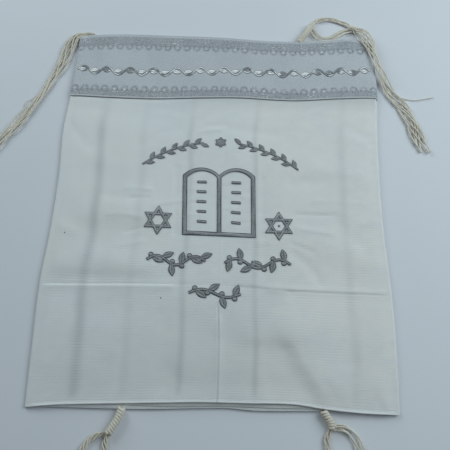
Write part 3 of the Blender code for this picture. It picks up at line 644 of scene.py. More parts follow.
def cotton():
    """White cotton with crosswise ribs, its woven stripes and their shadows on the front."""
    shader = Shader("cotton", {"Roughness": 0.86, "Sheen Weight": 0.25, "Subsurface Weight": 0.5,
                               "Subsurface Scale": 0.0015, "Subsurface Radius": (1.0, 1.0, 1.0)})
    along, height, _ = shader.cut_place().parts()
    side = along - FRONT_START
    patches = shader.noise(40.0, stretch=(1.0, 2.0, 1.0), seed=9.0).step(0.35, 0.65)
    ribs = (height + shader.noise(70.0, seed=11.0) * 0.0022).wave(RIB_PITCH) * patches
    ribs = ribs * (1.0 - height.step(0.12, 0.26) * 0.65)
    weave = along.wave(WARP_PITCH) + height.wave(WEFT_PITCH)
    uneven = shader.noise(220.0, 3.0, (1.0, 5.0, 1.0))
    slubs = shader.noise(90.0, stretch=(1.0, 14.0, 1.0), seed=3.0).step(0.60, 0.80)
    on_front = side.between(0.0, FLAT, 0.001)
    hem = (1.0 - height.step(HEM_DEPTH - 0.0005, HEM_DEPTH + 0.0002)) * on_front
    colour = shader.mix(hem, plain_cotton(shader, height, side, ribs, uneven), HEM_WHITE)
    dark = shade_on_front(shader, height, side, ribs) * on_front
    colour = shader.mix(dark, colour, SHADOW_SHADE)
    colour = shader.mix(woven_stripes(along, height) * (ribs * 0.15 + 0.80), colour, STRIPE)
    colour = shader.mix(lint(shader) * on_front, colour, SPECK)
    return shader.finished(colour, ribs * 0.18 + weave * 0.12 + uneven * 0.35 + slubs * 0.20)


GROUND = (0.618, 0.630, 0.668)
GROUND_SHADE = (0.530, 0.545, 0.590)
BORDER = (0.390, 0.405, 0.440)
BORDER_DARK = (0.200, 0.210, 0.235)
SELVEDGE = (0.800, 0.805, 0.820)
SPARKLE = (0.960, 0.965, 0.980)
TOP_STRIP, TOP_PLAIN = 0.0061, 0.0040  # along the neck edge, where the border is plainer
SCALLOP_PITCH = 0.0118
SCALLOP_HALF = 0.0034  # half a scallop's width
SCALLOP_CENTRE = 0.0116  # of its round end, from its edge, like the next ones
SCALLOP_FOOT = 0.0080
BORDER_IN, BORDER_OUT = 0.0018, 0.0106
EYE_IN = 0.0108
SELVEDGE_WIDTH, FOOT_SHADOW_WIDTH = 0.0021, 0.0009
TICK_PITCH = 0.0024


def band_weave():
    """Pale grey weave with a scalloped, speckled border along both long edges; painted glints, and
    a painted shadow at its foot.
    """
    shader = Shader("atarah_weave", {"Roughness": 0.52, "Sheen Weight": 0.15})
    along, height, _ = shader.cut_place().parts()
    inward = height.math("MINIMUM", BAND_DEPTH - TOP_STRIP - height)
    threads = along.wave(0.00080) * height.wave(0.00065)
    cloudy, grain = shader.noise(28.0, 3.0, seed=4.0), shader.noise(560.0, seed=8.0)
    patchy = shader.noise(75.0, seed=1.0).step(0.30, 0.70)
    shade = cloudy * 0.6 + grain * 1.2 - 0.4
    ground = shader.mix(shade.step(0.25, 0.75), GROUND, GROUND_SHADE)

    repeat = along.math("FLOORED_MODULO", SCALLOP_PITCH) - SCALLOP_PITCH / 2
    dome = repeat.hypot((inward - SCALLOP_CENTRE).math("MAXIMUM", 0.0))
    over_foot = inward.step(SCALLOP_FOOT - 0.001, SCALLOP_FOOT + 0.001)
    worn = shader.noise(130.0, seed=14.0).step(0.34, 0.56) * 0.6 + 0.4
    outline = dome.bell(SCALLOP_HALF, 0.0014) * over_foot * worn
    inside = dome.below(SCALLOP_HALF, 0.001) * over_foot
    border = (inward.below(BORDER_OUT, 0.0016)
              * height.between(BORDER_IN, BAND_DEPTH - TOP_PLAIN, 0.0010))
    dark = outline * 0.95 + inside * 0.15 + border * (patchy * 0.25 + 0.70)
    dark = dark * (grain * 0.9 + 0.55)
    colour = shader.mix(dark.math("MINIMUM", 1.0), ground, BORDER)

    ticks = along.wave(TICK_PITCH).step(-0.2, 0.6) * patchy
    specks = (outline * 0.8 + border * (ticks * 0.4 + 0.35)) * grain.step(0.48, 0.62)
    colour = shader.mix(specks.math("MINIMUM", 0.8), colour, BORDER_DARK)
    in_border = (inward + 0.0020).between(BORDER_IN, SCALLOP_CENTRE, 0.0010)
    # painted glints: white specks in the border and the scallops' eyes, where metal thread would
    # catch the light
    lit = shader.noise(42.0, 1.0, seed=2.0).step(0.46, 0.60)
    glints = 1.0 - grain.step(0.32, 0.42)
    glints = glints * in_border * (1.0 - patchy * 0.7) * (lit * 0.8 + 0.2)
    eye = repeat.hypot(inward - EYE_IN).bell(0.0, 0.0009)
    bright = eye * lit * 0.8 + glints
    colour = shader.mix(bright.math("MINIMUM", 1.0), colour, SPARKLE)
    edge = height.below(SELVEDGE_WIDTH, 0.0003)
    colour = shader.mix(edge, colour, SELVEDGE)
    # painted shadow: a dark line along the band's foot
    colour = shader.mix(height.below(FOOT_SHADOW_WIDTH, 0.0002), colour, BORDER_DARK)
    return shader.finished(colour, threads * 0.20 + dark * 0.4 + edge * 0.6 + grain * 0.15)


SATIN = (0.470, 0.478, 0.495), (0.265, 0.273, 0.290)  # each in its light and its dark stitches
CHARCOAL = (0.095, 0.099, 0.108), (0.048, 0.051, 0.057)
GREY = (0.145, 0.151, 0.163), (0.075, 0.079, 0.088)
# the silver thread's pair is painted reflection: bright where it would catch the light, dark where
# not
LUREX_REFLECTIONS = (0.985, 0.990, 1.000), (0.400, 0.410, 0.430)
WOOL = (0.845, 0.785, 0.690), (0.700, 0.625, 0.515)
FLOOR = (0.778, 0.785, 0.840), (0.758, 0.767, 0.826)
THREAD_RELIEF = 0.00008


def thread_shader(name, colours, roughness, metallic):
    """Shiny embroidery thread, uneven from stitch to stitch."""
    shader = Shader(name, {"Roughness": roughness, "Metallic": metallic, "Sheen Weight": 0.1})
    shade = shader.noise(900.0, 1.0) * 0.7 + shader.noise(70.0, seed=6.0) * 0.3
    colour = shader.mix(shade.step(0.35, 0.65), *colours)
    return shader.finished(colour, shader.noise(2600.0, 1.0), THREAD_RELIEF)


def lurex():
    """Silver thread with painted reflections: bright and dark patches where it would catch or miss
    the light.
    """
    shader = Shader("silver_lurex", {"Roughness": 0.30, "Metallic": 0.30})
    # painted reflections: patches of bright and dark thread
    patches = shader.noise(75.0, 1.0, seed=3.0).step(0.52, 0.64)
    shade = patches * 0.6 + shader.noise(520.0, 1.0, seed=9.0) - 0.3
    colour = shader.mix(shade.step(0.25, 0.75), *LUREX_REFLECTIONS)
    return shader.finished(colour, shader.noise(2600.0, 1.0), THREAD_RELIEF)


def wool():
    """Cream wool yarn, tanned where it was handled, in painted shade where it lies low by the
    floor, with a fine nap.
    """
    shader = Shader("wool", {"Roughness": 0.88, "Sheen Weight": 0.5})
    fibres = shader.noise(1500.0, stretch=(1.0, 1.0, 3.0))
    _, _, height = shader.place().parts()
    # painted shade: darker where the yarn lies low, near the floor
    low = 1.0 - height.step(0.0006, 0.0030)
    shade = shader.noise(35.0, 3.0, seed=2.0) * 0.7 + fibres * 0.3 + low * 0.12
    return shader.finished(shader.mix(shade.step(0.30, 0.80), *WOOL), fibres)


def floor_shader():
    shader = Shader("pale_floor", {"Roughness": 0.75})
    shade = shader.noise(5.0, 3.0) * 0.8 + shader.noise(600.0) * 0.2
    return shader.finished(shader.mix(shade.step(0.2, 0.8), *FLOOR))


# --- the cloth, the band and their seams

COTTON_PITCH, BAND_PITCH, SEAM_PITCH = 0.0022, 0.0020, 0.0007  # of columns across the front
FLAP_PITCH = 0.0045
SEAM_THREAD, SEAM_STITCH = 0.00034, 0.0030
SEAM_IN, HEM_SEAM_IN = 0.0017, 0.0007  # from the band's edges, and from the hem's inner edge
SEAM_LEFT, SEAM_RIGHT = FLAP - 0.002, 0.035  # how far the hem's seam runs on underneath
SEAM_OUT, BAND_SEAM_OUT = 0.00005, BAND_RISE - 0.00010  # outside the packet's face
BAND_CURL = 0.0005  # at the band's edges


def cloth_points(columns, rows):
    """A stretch of the cut, whose two ends curl in as round edges, and its rows' heights."""
    middle = spaced(rows, NECK_Y - EDGE_IN)[:, None]
    step, curl = EDGE_ROLL[:, :1], EDGE_ROLL[:, 1:]
    y = np.vstack([HEM_Y - step, middle, NECK_Y + step[::-1]])
    out = np.vstack([curl, 0 * middle, curl[::-1]])
    return packet(columns, outlined(y, *edge_waves(columns)), out), columns, y - HEM_Y


def add_cloth(shader):
    """The one cut of cloth: the front with both side folds, and the two flaps underneath."""
    front = columns_round(TUCK, TUCK, COTTON_PITCH, under_pitch=0.0014)
    panel = add_sheet("front_cloth", *cloth_points(front, FRONT_ROWS), CLOTH, shader, "cloth")
    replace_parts(panel, "front_panel")
    for name, start in (("low_flap", -FOLD - FLAP), ("high_flap", FLAT + FOLD + TUCK)):
        under = columns_at(spaced([(start, FLAP_PITCH)], start + FLAP - TUCK))
        flap = add_sheet(name, *cloth_points(under, FLAP_ROWS), CLOTH, shader, "cloth")
        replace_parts(flap, "folded_flaps")


def add_band(shader):
    """The band, puffed up between its sewn edges and curled in at them."""
    columns = columns_round(BAND_UNDER, BAND_UNDER, BAND_PITCH, under_pitch=0.0040)
    foot, neck = band_edges(columns)
    up = np.concatenate([[0.0, 0.004], np.linspace(0.012, 0.988, 50), [0.996, 1.0]])[:, None]
    from_edge = np.minimum(up, 1 - up)
    out = BAND_EDGE_RISE + (BAND_RISE - BAND_EDGE_RISE) * ease(from_edge / 0.05)
    out = out - BAND_CURL * (1 - ease(from_edge / 0.006))
    points = packet(columns, foot + (neck - foot) * up, out)
    band = add_sheet("atarah", points, columns, up * BAND_DEPTH, BAND, shader, "atarah")
    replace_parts(band, "atarah_band")


def seam(bundle, columns, y, out):
    """A running stitch that dips in and out of the cloth along a row."""
    path = packet(columns, y, out)
    rise = np.sin(math.tau * columns.along / SEAM_STITCH) * SEAM_THREAD * 0.75
    path[:, 2] = np.maximum(path[:, 2] + rise * np.cos(columns.turn), SEAM_THREAD / 2)
    path[:, 0] += rise * np.sin(columns.turn) * columns.side
    bundle.append(yarn(path, SEAM_THREAD, sides=4))


def add_seams(white):
    """The hem's stitching all along the cut, and the band's along both of its edges."""
    bundle = []
    columns = columns_round(SEAM_LEFT, SEAM_RIGHT, SEAM_PITCH, SEAM_PITCH, steps=12)
    hem_out, _ = edge_waves(columns)
    seam(bundle, columns, outlined(HEM_Y + HEM_DEPTH - HEM_SEAM_IN, hem_out, 0.0), SEAM_OUT)
    front = Columns(*(values[columns.turn == 0] for values in columns))
    foot, neck = band_edges(front)
    for y in (foot + SEAM_IN, neck - SEAM_IN):
        seam(bundle, front, y, BAND_SEAM_OUT)
    add_bodies("seams", bundle, white)


# --- the stitching

THREAD_PITCH = 0.00050
SATIN_HEIGHT = 0.00075
CORD, BERRY_CORD = 0.00075, 0.00095
CORD_PITCH, CORD_STITCH = 0.0006, 0.0017  # of the rings along a cord, and of its stitches
ARCH = ((0.0, 0.10, 0.7), (0.2, 0.90, 1.0), (0.8, 0.90, 1.0), (1.0, 0.10, 0.7))


class Stitching:
    """Satin stitch, and the cords along its edges, on the front cloth or above it."""

    def __init__(self, cord=CORD, lift=0.0, height=SATIN_HEIGHT, warp=np.array):
        self.cord_size, self.lift, self.height, self.warp = cord, lift, height, warp
        self.satin, self.cords = [], []

    def threads(self, starts, ends):
        """Side-by-side threads from edge to edge, arched over their padding."""
        starts, ends = self.warp(starts), self.warp(ends)
        share, rise, thick = np.array(ARCH).T
        x, y = np.moveaxis(starts[:, None] + (ends - starts)[:, None] * share[:, None], -1, 0)
        middle = together(x, y, front_height(x, y) + self.lift + self.height * rise)
        along = unit(ends - starts)
        side = together(along[:, 1], -along[:, 0], 0.0)[:, None]
        side = side * THREAD_PITCH * 0.62 * thick[:, None]
        up = UP * 0.00022 * thick[:, None]
        rings = np.stack([middle + side, middle + up, middle - side, middle - up], axis=2)
        self.satin.append(rings)

    def between(self, one, other):
        """Fills between two edges with matching corners."""
        one, other = np.array(one), np.array(other)
        for a, b, c, d in zip(one, one[1:], other, other[1:]):
            longest = max(np.linalg.norm(b - a), np.linalg.norm(d - c))
            t = middles(max(1, round(longest / THREAD_PITCH)))
            self.threads(a + (b - a) * t, c + (d - c) * t)

    def ribbon(self, line, width):
        """A bar of satin stitch along a line of points."""
        ahead = directions(line)
        side = together(-ahead[:, 1], ahead[:, 0]) * width / 2
        self.between(line + side, line - side)
        self.cord(np.vstack([line + side, (line - side)[::-1]]), closed=True)

    def cord(self, line, closed=False):
        """A dark cord couched down along a line."""
        line = self.warp(np.array(line))
        if closed:
            line = np.vstack([line, line[:1]])
        lengths, places = resampled(line, CORD_PITCH)
        path = together(*places.T, front_height(*places.T) + self.lift + 0.55 * self.height)
        sizes = 1 + 0.16 * np.sin(math.tau * lengths / CORD_STITCH)
        self.cords.append(yarn(path, self.cord_size, sides=5, sizes=sizes))

    def leaf(self, base, degrees, length, width):
        """A pointed leaf, its two halves stitched from the edges in to the vein."""
        def at(share, out):
            """This share along the leaf, and this far out to its left."""
            return base + ahead * (share * length)[:, None] + side * out[:, None]

        base, ahead, side = np.array(base), polar(1.0, degrees), polar(1.0, degrees + 90)
        t = (np.arange(round(length / THREAD_PITCH)) + 0.5) * THREAD_PITCH / length
        at_edge = np.minimum(1.0, t + 0.12)
        half = width / 2 * np.sin(math.pi * at_edge) + 0.0001
        self.threads(at(at_edge, half), at(t, 0 * t))
        self.threads(at(at_edge, -half), at(t, 0 * t))
        t = np.linspace(0, 1, 15)
        half = width / 2 * np.sin(math.pi * t)
        self.cord(np.vstack([at(t, half), at(t, -half)[-2::-1]]))

    def disc(self, centre, radius):
        """A round berry, padded and edged."""
        x = np.arange(-radius + THREAD_PITCH / 2, radius, THREAD_PITCH)
        y = np.sqrt(radius ** 2 - x ** 2)
        self.threads(centre + together(x, -y), centre + together(x, y))
        self.cord(centre + polar(radius, np.linspace(0, 342, 20)), closed=True)

    def pieces(self, name, satin_shader, cord_shader, slot):
        """Makes the two pieces, and returns the first."""
        satin = add_bodies(name, self.satin, satin_shader)
        add_bodies(name + "_cords", self.cords, cord_shader)
        return satin


def middles(count):
    """The middles of this many equal steps from 0 to 1, as a column."""
    return (np.arange(count) + 0.5)[:, None] / count


# --- the embroidery

TABLETS_LEFT, TABLETS_RIGHT = -0.0418, 0.0398
TABLETS_FOOT, TABLETS_SHOULDER = -0.0420, 0.0318
ARCH_RISE = 0.0097
TABLETS_BAR = 0.0043
MARKS = (0.0235, 0.0112, -0.0011, -0.0134, -0.0257)
MARK_LENGTH, MARK_WIDTH = 0.0100, 0.0026
STAR_RADIUS, STAR_BAR = 0.0170, 0.0026
STARS = {"star_left": ((-0.0658, -0.0245), 0.0), "star_right": ((0.0650, -0.0276), 0.0009)}

ARC_CENTRE, ARC_RADIUS = (-0.0019, -0.0600), 0.1352


def arc(start, end):
    """Where points lie along the arc over the tablets, between two angles in degrees."""
    return lambda share: np.array(ARC_CENTRE) + polar(ARC_RADIUS, start + (end - start) * share)


def wavy(x0, x1, y, height, waves):
    """Where points lie along a wavy line."""
    return lambda share: together(x0 + (x1 - x0) * share,
                                  y + height * np.sin(math.tau * waves * share))


Sprig = namedtuple("Sprig", "line stem leaves leaf berry")
SPRAY_LEAF, VINE_LEAF = (0.0108, 0.0044, 34), (0.0135, 0.0062, 52)  # length, width, angle
SPRIGS = {
    "spray_left": Sprig(arc(129.5, 98.0), 0.0016, 11, SPRAY_LEAF, 0.0),
    "spray_right": Sprig(arc(49.0, 81.0), 0.0016, 11, SPRAY_LEAF, 0.0),
    "vine_left": Sprig(wavy(-0.0740, -0.0130, -0.0705, 0.0050, 1.5), 0.0024, 6, VINE_LEAF, 0.0024),
    "vine_right": Sprig(wavy(0.0770, 0.0080, -0.0715, 0.0050, 1.5), 0.0024, 6, VINE_LEAF, 0.0024),
    "vine_low": Sprig(wavy(-0.0280, 0.0250, -0.1055, 0.0040, 1.0), 0.0024, 4, VINE_LEAF, 0.0024),
}
ROSETTE = (-0.0010, 0.0752)
PETALS, PETAL_LENGTH, PETAL_WIDTH = 6, 0.0068, 0.0042

# The band's running vine: a wavy stem with a leaf in the hollow of each bend
BAND_VINE_Y = 0.0385  # above the band's foot
VINE_SWING, VINE_BENDS = 0.0054, 25
VINE_STROKE, VINE_LEAF_SIZE, VINE_CORD = 0.0018, (0.0102, 0.0056), 0.0006
VINE_START, VINE_LENGTH = 0.0020, 0.3520  # from the left side fold


def arch(left, right, foot, rise):
    """Points of a round-topped arch from its left shoulder over to its right."""
    half = (right - left) / 2
    radius = (half * half + rise * rise) / (2 * rise)
    sweep = math.degrees(math.asin(half / radius))
    centre = np.array([(left + right) / 2, foot + rise - radius])
    return centre + polar(radius, np.linspace(90 + sweep, 90 - sweep, 25))


def sewn_askew(places):
    """Where a place on the true tablets lies on these, which the cloth has pulled askew."""
    across = (places[..., 0] - TABLETS_LEFT) / (TABLETS_RIGHT - TABLETS_LEFT)
    up = (places[..., 1] - TABLETS_FOOT) / (TABLETS_SHOULDER - TABLETS_FOOT)
    low = 1 - np.clip(up, 0, 1)
    out = 0.0032 * (1 - across) * low - 0.0012 * across * (1 - low)
    out = out + 0.0003 * np.sin(7 * up + 3 * across)
    rise = 0.0015 * (1 - across) * low + 0.0005 * np.sin(4 * math.pi * across) * low
    return places + together(out, rise)


def tablets_stitching():
    """Two arched windows in one outline, each with a column of short bars."""
    stitches = Stitching(warp=sewn_askew)
    middle, half_bar = (TABLETS_LEFT + TABLETS_RIGHT) / 2, TABLETS_BAR / 2
    foot, shoulder = TABLETS_FOOT + TABLETS_BAR, TABLETS_SHOULDER - 0.6 * TABLETS_BAR
    left, right = TABLETS_LEFT + TABLETS_BAR, TABLETS_RIGHT - TABLETS_BAR
    outline = [(TABLETS_LEFT, TABLETS_FOOT)]
    for outer, window, step in ((TABLETS_LEFT, (left, middle - half_bar), 1),
                                (TABLETS_RIGHT, (middle + half_bar, right), -1)):
        over = arch(*sorted((outer, middle)), TABLETS_SHOULDER, ARCH_RISE)
        under = arch(*window, shoulder, ARCH_RISE - 0.0012)
        rim = [(window[0], foot), *under, (window[1], foot)]
        outline.extend(over)
        stitches.cord(rim, closed=True)
        stitches.between([(outer, TABLETS_FOOT), *over[::step]], rim[::step][:-1])
        for y in MARKS:
            ends = sum(window) / 2 + np.array([-0.5, 0.5]) * MARK_LENGTH
            stitches.ribbon(together(ends, y), MARK_WIDTH)
    stitches.cord([*outline, (TABLETS_RIGHT, TABLETS_FOOT)], closed=True)
    stitches.between([(middle - half_bar, foot), (middle - half_bar, shoulder)],
                     [(middle + half_bar, foot), (middle + half_bar, shoulder)])
    stitches.between([(TABLETS_LEFT, TABLETS_FOOT), (TABLETS_RIGHT, TABLETS_FOOT)],
                     [(left, foot), (right, foot)])
    return stitches


def star_stitching(centre, dot):
    """Two interlaced triangles: each bar passes over the first bar it meets, under the next."""
    stitches = Stitching()
    t = middles(round(STAR_RADIUS * 3 ** 0.5 / THREAD_PITCH))
    for first in (90, 210, 330, 270, 390, 510):
        tips = np.array([first, first + 120])
        outer, inner = (polar(radius, tips) for radius in (STAR_RADIUS, STAR_RADIUS - 2 * STAR_BAR))
        starts, ends = (edge[0] + (edge[1] - edge[0]) * t for edge in (outer, inner))
        over = ~passes_under((starts + ends) / 2, first, t)
        stitches.threads((starts + centre)[over], (ends + centre)[over])
        for edge in (starts, ends):
            shown = ~passes_under(edge, first, t)
            for run in np.split(np.arange(len(t)), np.nonzero(np.diff(shown))[0] + 1):
                if shown[run[0]] and len(run) > 3:
                    stitches.cord((edge + centre)[run])
    if dot:
        stitches.disc(centre, dot)
    return stitches


def passes_under(points, square_to_next, t):
    """Whether points in a star's bar lie beneath the second bar that it meets."""
    depth = STAR_RADIUS / 2 - points @ polar(1.0, square_to_next)
    return (t[:, 0] > 0.5) & (depth > -0.0003) & (depth < STAR_BAR + 0.0003)


def sprig_stitching(sprig):
    """A stem with leaves by turns on its left and right, and berries across from them."""
    stitches = Stitching(cord=BERRY_CORD if sprig.berry else CORD)
    stitches.ribbon(sprig.line(np.linspace(0, 1, 60)), sprig.stem)
    length, width, angle = sprig.leaf
    for k in range(sprig.leaves):
        share = (k + 0.5) / sprig.leaves
        side = 1 if k % 2 else -1
        base = sprig.line(share)
        ahead = sprig.line(share + 0.01) - sprig.line(share - 0.01)
        along = math.degrees(math.atan2(ahead[1], ahead[0]))
        stitches.leaf(base, along + side * angle, length, width)
        if sprig.berry:
            reach = sprig.stem / 2 + 0.6 * sprig.berry
            stitches.disc(base + polar(reach, along - side * 90), sprig.berry)
    return stitches


def rosette_stitching():
    stitches = Stitching()
    for k in range(PETALS):
        stitches.leaf(ROSETTE, 90 + 360 * k / PETALS, PETAL_LENGTH, PETAL_WIDTH)
    stitches.disc(ROSETTE, PETAL_WIDTH / 2)
    return stitches


def on_band(along, up):
    """Places on the front, from places along the band and up from the middle of its vine."""
    foot = BAND_FOOT_Y + read(BAND_FOOT_WAVES, along / FLAT)
    return together(along - FLAT / 2, up + foot + BAND_VINE_Y)


def band_vine_stitching():
    stitches = Stitching(cord=VINE_CORD, lift=BAND_RISE - 0.0001, height=0.00055)
    share = np.linspace(0, 1, 12 * VINE_BENDS + 1)
    swing = VINE_SWING * np.sin(math.pi * VINE_BENDS * share)
    stitches.ribbon(on_band(VINE_START + VINE_LENGTH * share, swing), VINE_STROKE)
    for bend in range(VINE_BENDS):
        side = -1 if bend % 2 else 1
        base = on_band(VINE_START + VINE_LENGTH * (bend + 0.12) / VINE_BENDS, side * 0.0012)
        stitches.leaf(base, -side * 12, *VINE_LEAF_SIZE)
    return stitches


def add_embroidery():
    """Each motif in place of its solid, and the band's vine on top of the band."""
    satin = thread_shader("silver_satin", SATIN, 0.36, 0.20)
    charcoal = thread_shader("charcoal_cord", CHARCOAL, 0.50, 0.10)
    grey = thread_shader("grey_cord", GREY, 0.50, 0.10)
    motifs = {"tablets": (tablets_stitching(), grey)}
    motifs.update((name, (star_stitching(*star), grey)) for name, star in STARS.items())
    motifs.update((name, (sprig_stitching(sprig), charcoal)) for name, sprig in SPRIGS.items())
    motifs["rosette"] = rosette_stitching(), charcoal
    for name, (stitches, cord) in motifs.items():
        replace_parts(stitches.pieces(name + "_satin", satin, cord, "embroidery"), name)
    band_vine_stitching().pieces("atarah_vine", lurex(), grey, "atarah")


# --- the tassels

YARN = 0.0016
TAIL_STRANDS, LOOP_STRANDS = 8, 4
STRAND_PITCH = 0.0009  # of the rings along a strand
STRAND_LAYER = 0.0014
WIND_YARN = 0.0034
STRAND_LAY, WIND_LAY, STRAY_LAY = 0.0075, 0.0060, 0.0035  # in which their plies turn once
LOOP_REACH = 0.0006  # how far the strands of a loop wander
TAIL_TRIM = 0.10  # of its length, by which a tail ends unevenly
# A wound stem or knot, whose core takes every so many of the winding's steps
Wound = namedtuple("Wound", "thickness core pitch step skip")
WOUND_STEM = Wound(0.0082, 0.004512, 0.0054, 0.00030, 3)
WOUND_KNOT = Wound(0.0076, 0.0044, 0.0052, 0.00020, 4)
BARE_HEAD = curve((0, 0.6), (100, 3))  # how wide the strands of an unwound head lie

# In millimetres: points are x, y and the underside's height, or LAID without one; a tail has its
# half widths at hundredths of its length, its turns, and how far its strands wander
LAID, OVER = 0.4, 7.8  # on the floor, and over the band
Tassel = namedtuple("Tassel", "stem loops knot tail widths turns reach strays")
Loop = namedtuple("Loop", "half turns points")
Stray = namedtuple("Stray", "thickness points")  # a loose strand, or a loop through the corner
TASSELS = {
    "tzitzit_top_left": Tassel(
        stem=[(-162.5, 228.4), (-168, 228.6), (-173.5, 228.3)],
        loops=[],
        knot=[],
        tail=[(-175, 227.6), (-185.6, 223.2), (-191.4, 209), (-196.8, 187), (-208.5, 157),
              (-220, 130), (-234.5, 103), (-252, 75.6), (-271, 49), (-286, 23), (-296, -8)],
        widths=curve((0, 3), (10, 6.2), (24, 5.4), (38, 3.6), (50, 4.2), (62, 4.4), (100, 7.5)),
        turns=1.7,
        reach=2.9,
        strays=[
            Stray(0.9, [(-176.5, 230, 1), (-188, 228), (-196.5, 214), (-199.2, 196), (-203.5, 176),
                        (-212, 153, 2)]),
            Stray(0.9, [(-214, 145, 2), (-224.5, 132.5), (-232.5, 127), (-234, 118.5),
                        (-228, 116, 1), (-229, 108, 2)]),
        ],
    ),
    "tzitzit_top_right": Tassel(
        stem=[(91.2, 221.7), (95.5, 230), (101.4, 239), (108, 251)],
        loops=[
            Loop(2.2, 0.8, [(106.5, 249), (113.2, 258.4), (124.7, 262.5), (137.3, 261),
                            (149.5, 255.5), (160.5, 247.5)]),
            Loop(3.8, 0.0, [(106.5, 249), (111, 238.5), (118.5, 230.5), (129, 230.5), (139, 237.5),
                            (149.5, 243.5), (160.5, 246.5)]),
        ],
        knot=[(157, 248), (164, 244, 2)],
        tail=[(161.5, 245.5, 1), (168.4, 241.5, 4), (171.6, 233.5, OVER), (175.2, 223, OVER),
              (179.4, 210, OVER), (183.1, 197, OVER), (186.4, 180, OVER), (192.1, 166, 4),
              (197.4, 155.5), (203.6, 144.4), (211.3, 132.7), (217.5, 119.9), (222.4, 106.6),
              (226.8, 90.4), (230, 78.5), (233.6, 67.2)],
        widths=curve((0, 3.4), (10, 6.4), (24, 4.2), (40, 3.6), (52, 4.6), (64, 6.2), (82, 6),
                     (100, 5.2)),
        turns=1.5,
        reach=2.3,
        strays=[
            Stray(1, [(201, 149, 2), (211.3, 146.4), (219.3, 144), (228.1, 143.2), (240.3, 145.7),
                      (250.6, 148.5)]),
            Stray(1, [(216, 111.8, 2), (218, 100.2), (219.8, 91.4), (221.4, 86.1), (221.3, 82.2)]),
            Stray(0.9, [(160, 244, 3), (159.2, 237.5, 7.4), (162.5, 229, 7.4), (168, 221, 7.4),
                        (176.5, 212, 7.4), (180, 204, 8.5)]),
        ],
    ),
    "tzitzit_bottom_left": Tassel(
        stem=[(-86.4, -223.3), (-88.6, -231), (-92.5, -238.5), (-97.4, -246.6)],
        loops=[
            Loop(2.1, 2.6, [(-96.5, -245), (-107, -248), (-114.5, -252.5), (-121, -262),
                            (-122.5, -274), (-116, -286)]),
            Loop(2.1, 2.0, [(-96.5, -245), (-99, -253), (-99.4, -262), (-102.5, -274),
                            (-110.5, -286)]),
        ],
        knot=[(-111, -284), (-115.5, -291)],
        tail=[(-113.5, -288), (-120, -300), (-127.5, -322), (-132, -350), (-129, -380),
              (-124, -408), (-127, -438)],
        widths=curve((0, 3), (20, 5), (60, 6), (100, 8.5)),
        turns=1.4,
        reach=2.9,
        strays=[
            Stray(1.4, [(-83.8, -216.5, 2), (-85, -220.5, 1.1), (-86.8, -224.5, 1.6)]),
            Stray(1.4, [(-85.6, -216, 2), (-86.8, -220.3, 1.1), (-88.4, -225, 1.6)]),
        ],
    ),
    "tzitzit_bottom_right": Tassel(
        stem=[(106.8, -220.4), (110.5, -226), (113.7, -231), (115.2, -236)],
        loops=[
            Loop(2, 1.2, [(114.6, -234.5), (110, -243), (109.8, -254.6), (113.5, -266),
                          (121.5, -277)]),
            Loop(3.6, 0.4, [(114.6, -234.5), (124, -234.5), (132.3, -238.5), (138.5, -248),
                            (141, -259), (136, -270), (126.5, -277.5)]),
        ],
        knot=[(121.5, -275.5), (126, -283)],
        tail=[(124, -279.5), (130, -293), (136.5, -317), (138, -346), (134, -376), (133, -406),
              (138.5, -434)],
        widths=curve((0, 3), (20, 5), (60, 6), (100, 8.5)),
        turns=1.2,
        reach=2.9,
        strays=[
            Stray(1.4, [(103.5, -216.5, 2), (105.6, -220, 1.1), (108.2, -223.5, 1.6)]),
            Stray(1.4, [(105.5, -215.8, 2), (107.4, -219.3, 1.1), (109.8, -222.8, 1.6)]),
        ],
    ),
}


def raised_path(points, thickness, pitch):
    """A smooth path whose tube of this thickness rests on the points' heights."""
    knots = np.array([(x, y, *(z or [LAID])) for x, y, *z in points]) / 1000
    return smooth_path(knots + UP * thickness / 2, pitch)


def add_wound(bundle, points, wound):
    """Gathered strands with two yarns wound side by side round them."""
    path = raised_path(points, wound.thickness, wound.step)
    bundle.append(yarn(path[::wound.skip], wound.core, sides=10))
    radius = (wound.thickness - WIND_YARN) / 2
    for start in (0.0, 0.5):
        turn = math.tau * (distances(path) / wound.pitch + start)[:, None]
        coil = path + level_across(path) * radius * np.cos(turn) + UP * radius * np.sin(turn)
        bundle.append(yarn(coil, WIND_YARN, sides=8, plies=3, lay=WIND_LAY))


def wander(share, reach, rng):
    """A slow sideways drift along a strand, from nothing at its start."""
    drift = np.zeros_like(share)
    for length in (0.9, 0.37, 0.17):
        shift, size = rng.uniform(0, math.tau), rng.uniform(0.4, 1.0) * reach * length
        drift += size * np.sin(math.tau * share / length + shift)
    return drift * ease(4 * share)


def add_strands(bundle, points, count, half_widths, rng, turns=0.0, reach=0.0, trim=0.0):
    """Strands along a path: twisted round each other, or side by side in two layers."""
    middle = raised_path(points, YARN, STRAND_PITCH)
    across, share = level_across(middle), np.linspace(0, 1, len(middle))
    half = read(half_widths, share)
    for k in range(count):
        turn = math.tau * (k / count + turns * share)
        lane = np.cos(turn) if turns else 2 * k / (count - 1) - 1
        layer = 0.5 + 0.5 * np.sin(turn) if turns else (k % 2) * (1 - 0.5 * ease(2 * share - 1))
        offset = half * lane + wander(share, reach, rng)
        height = STRAND_LAYER * layer + 0.0002 * (1 + np.sin(9 * share + 2 * k))
        path = middle + across * offset[:, None] + UP * height[:, None]
        kept = len(path) - round(len(path) * trim * rng.uniform(0, 1))
        swelling = (1 + 0.22 * ease(1.5 * share - 0.5)) * rng.uniform(0.94, 1.06)
        bundle.append(yarn(path[:kept], YARN, sides=9, plies=3, lay=STRAND_LAY,
                           sizes=swelling[:kept]))


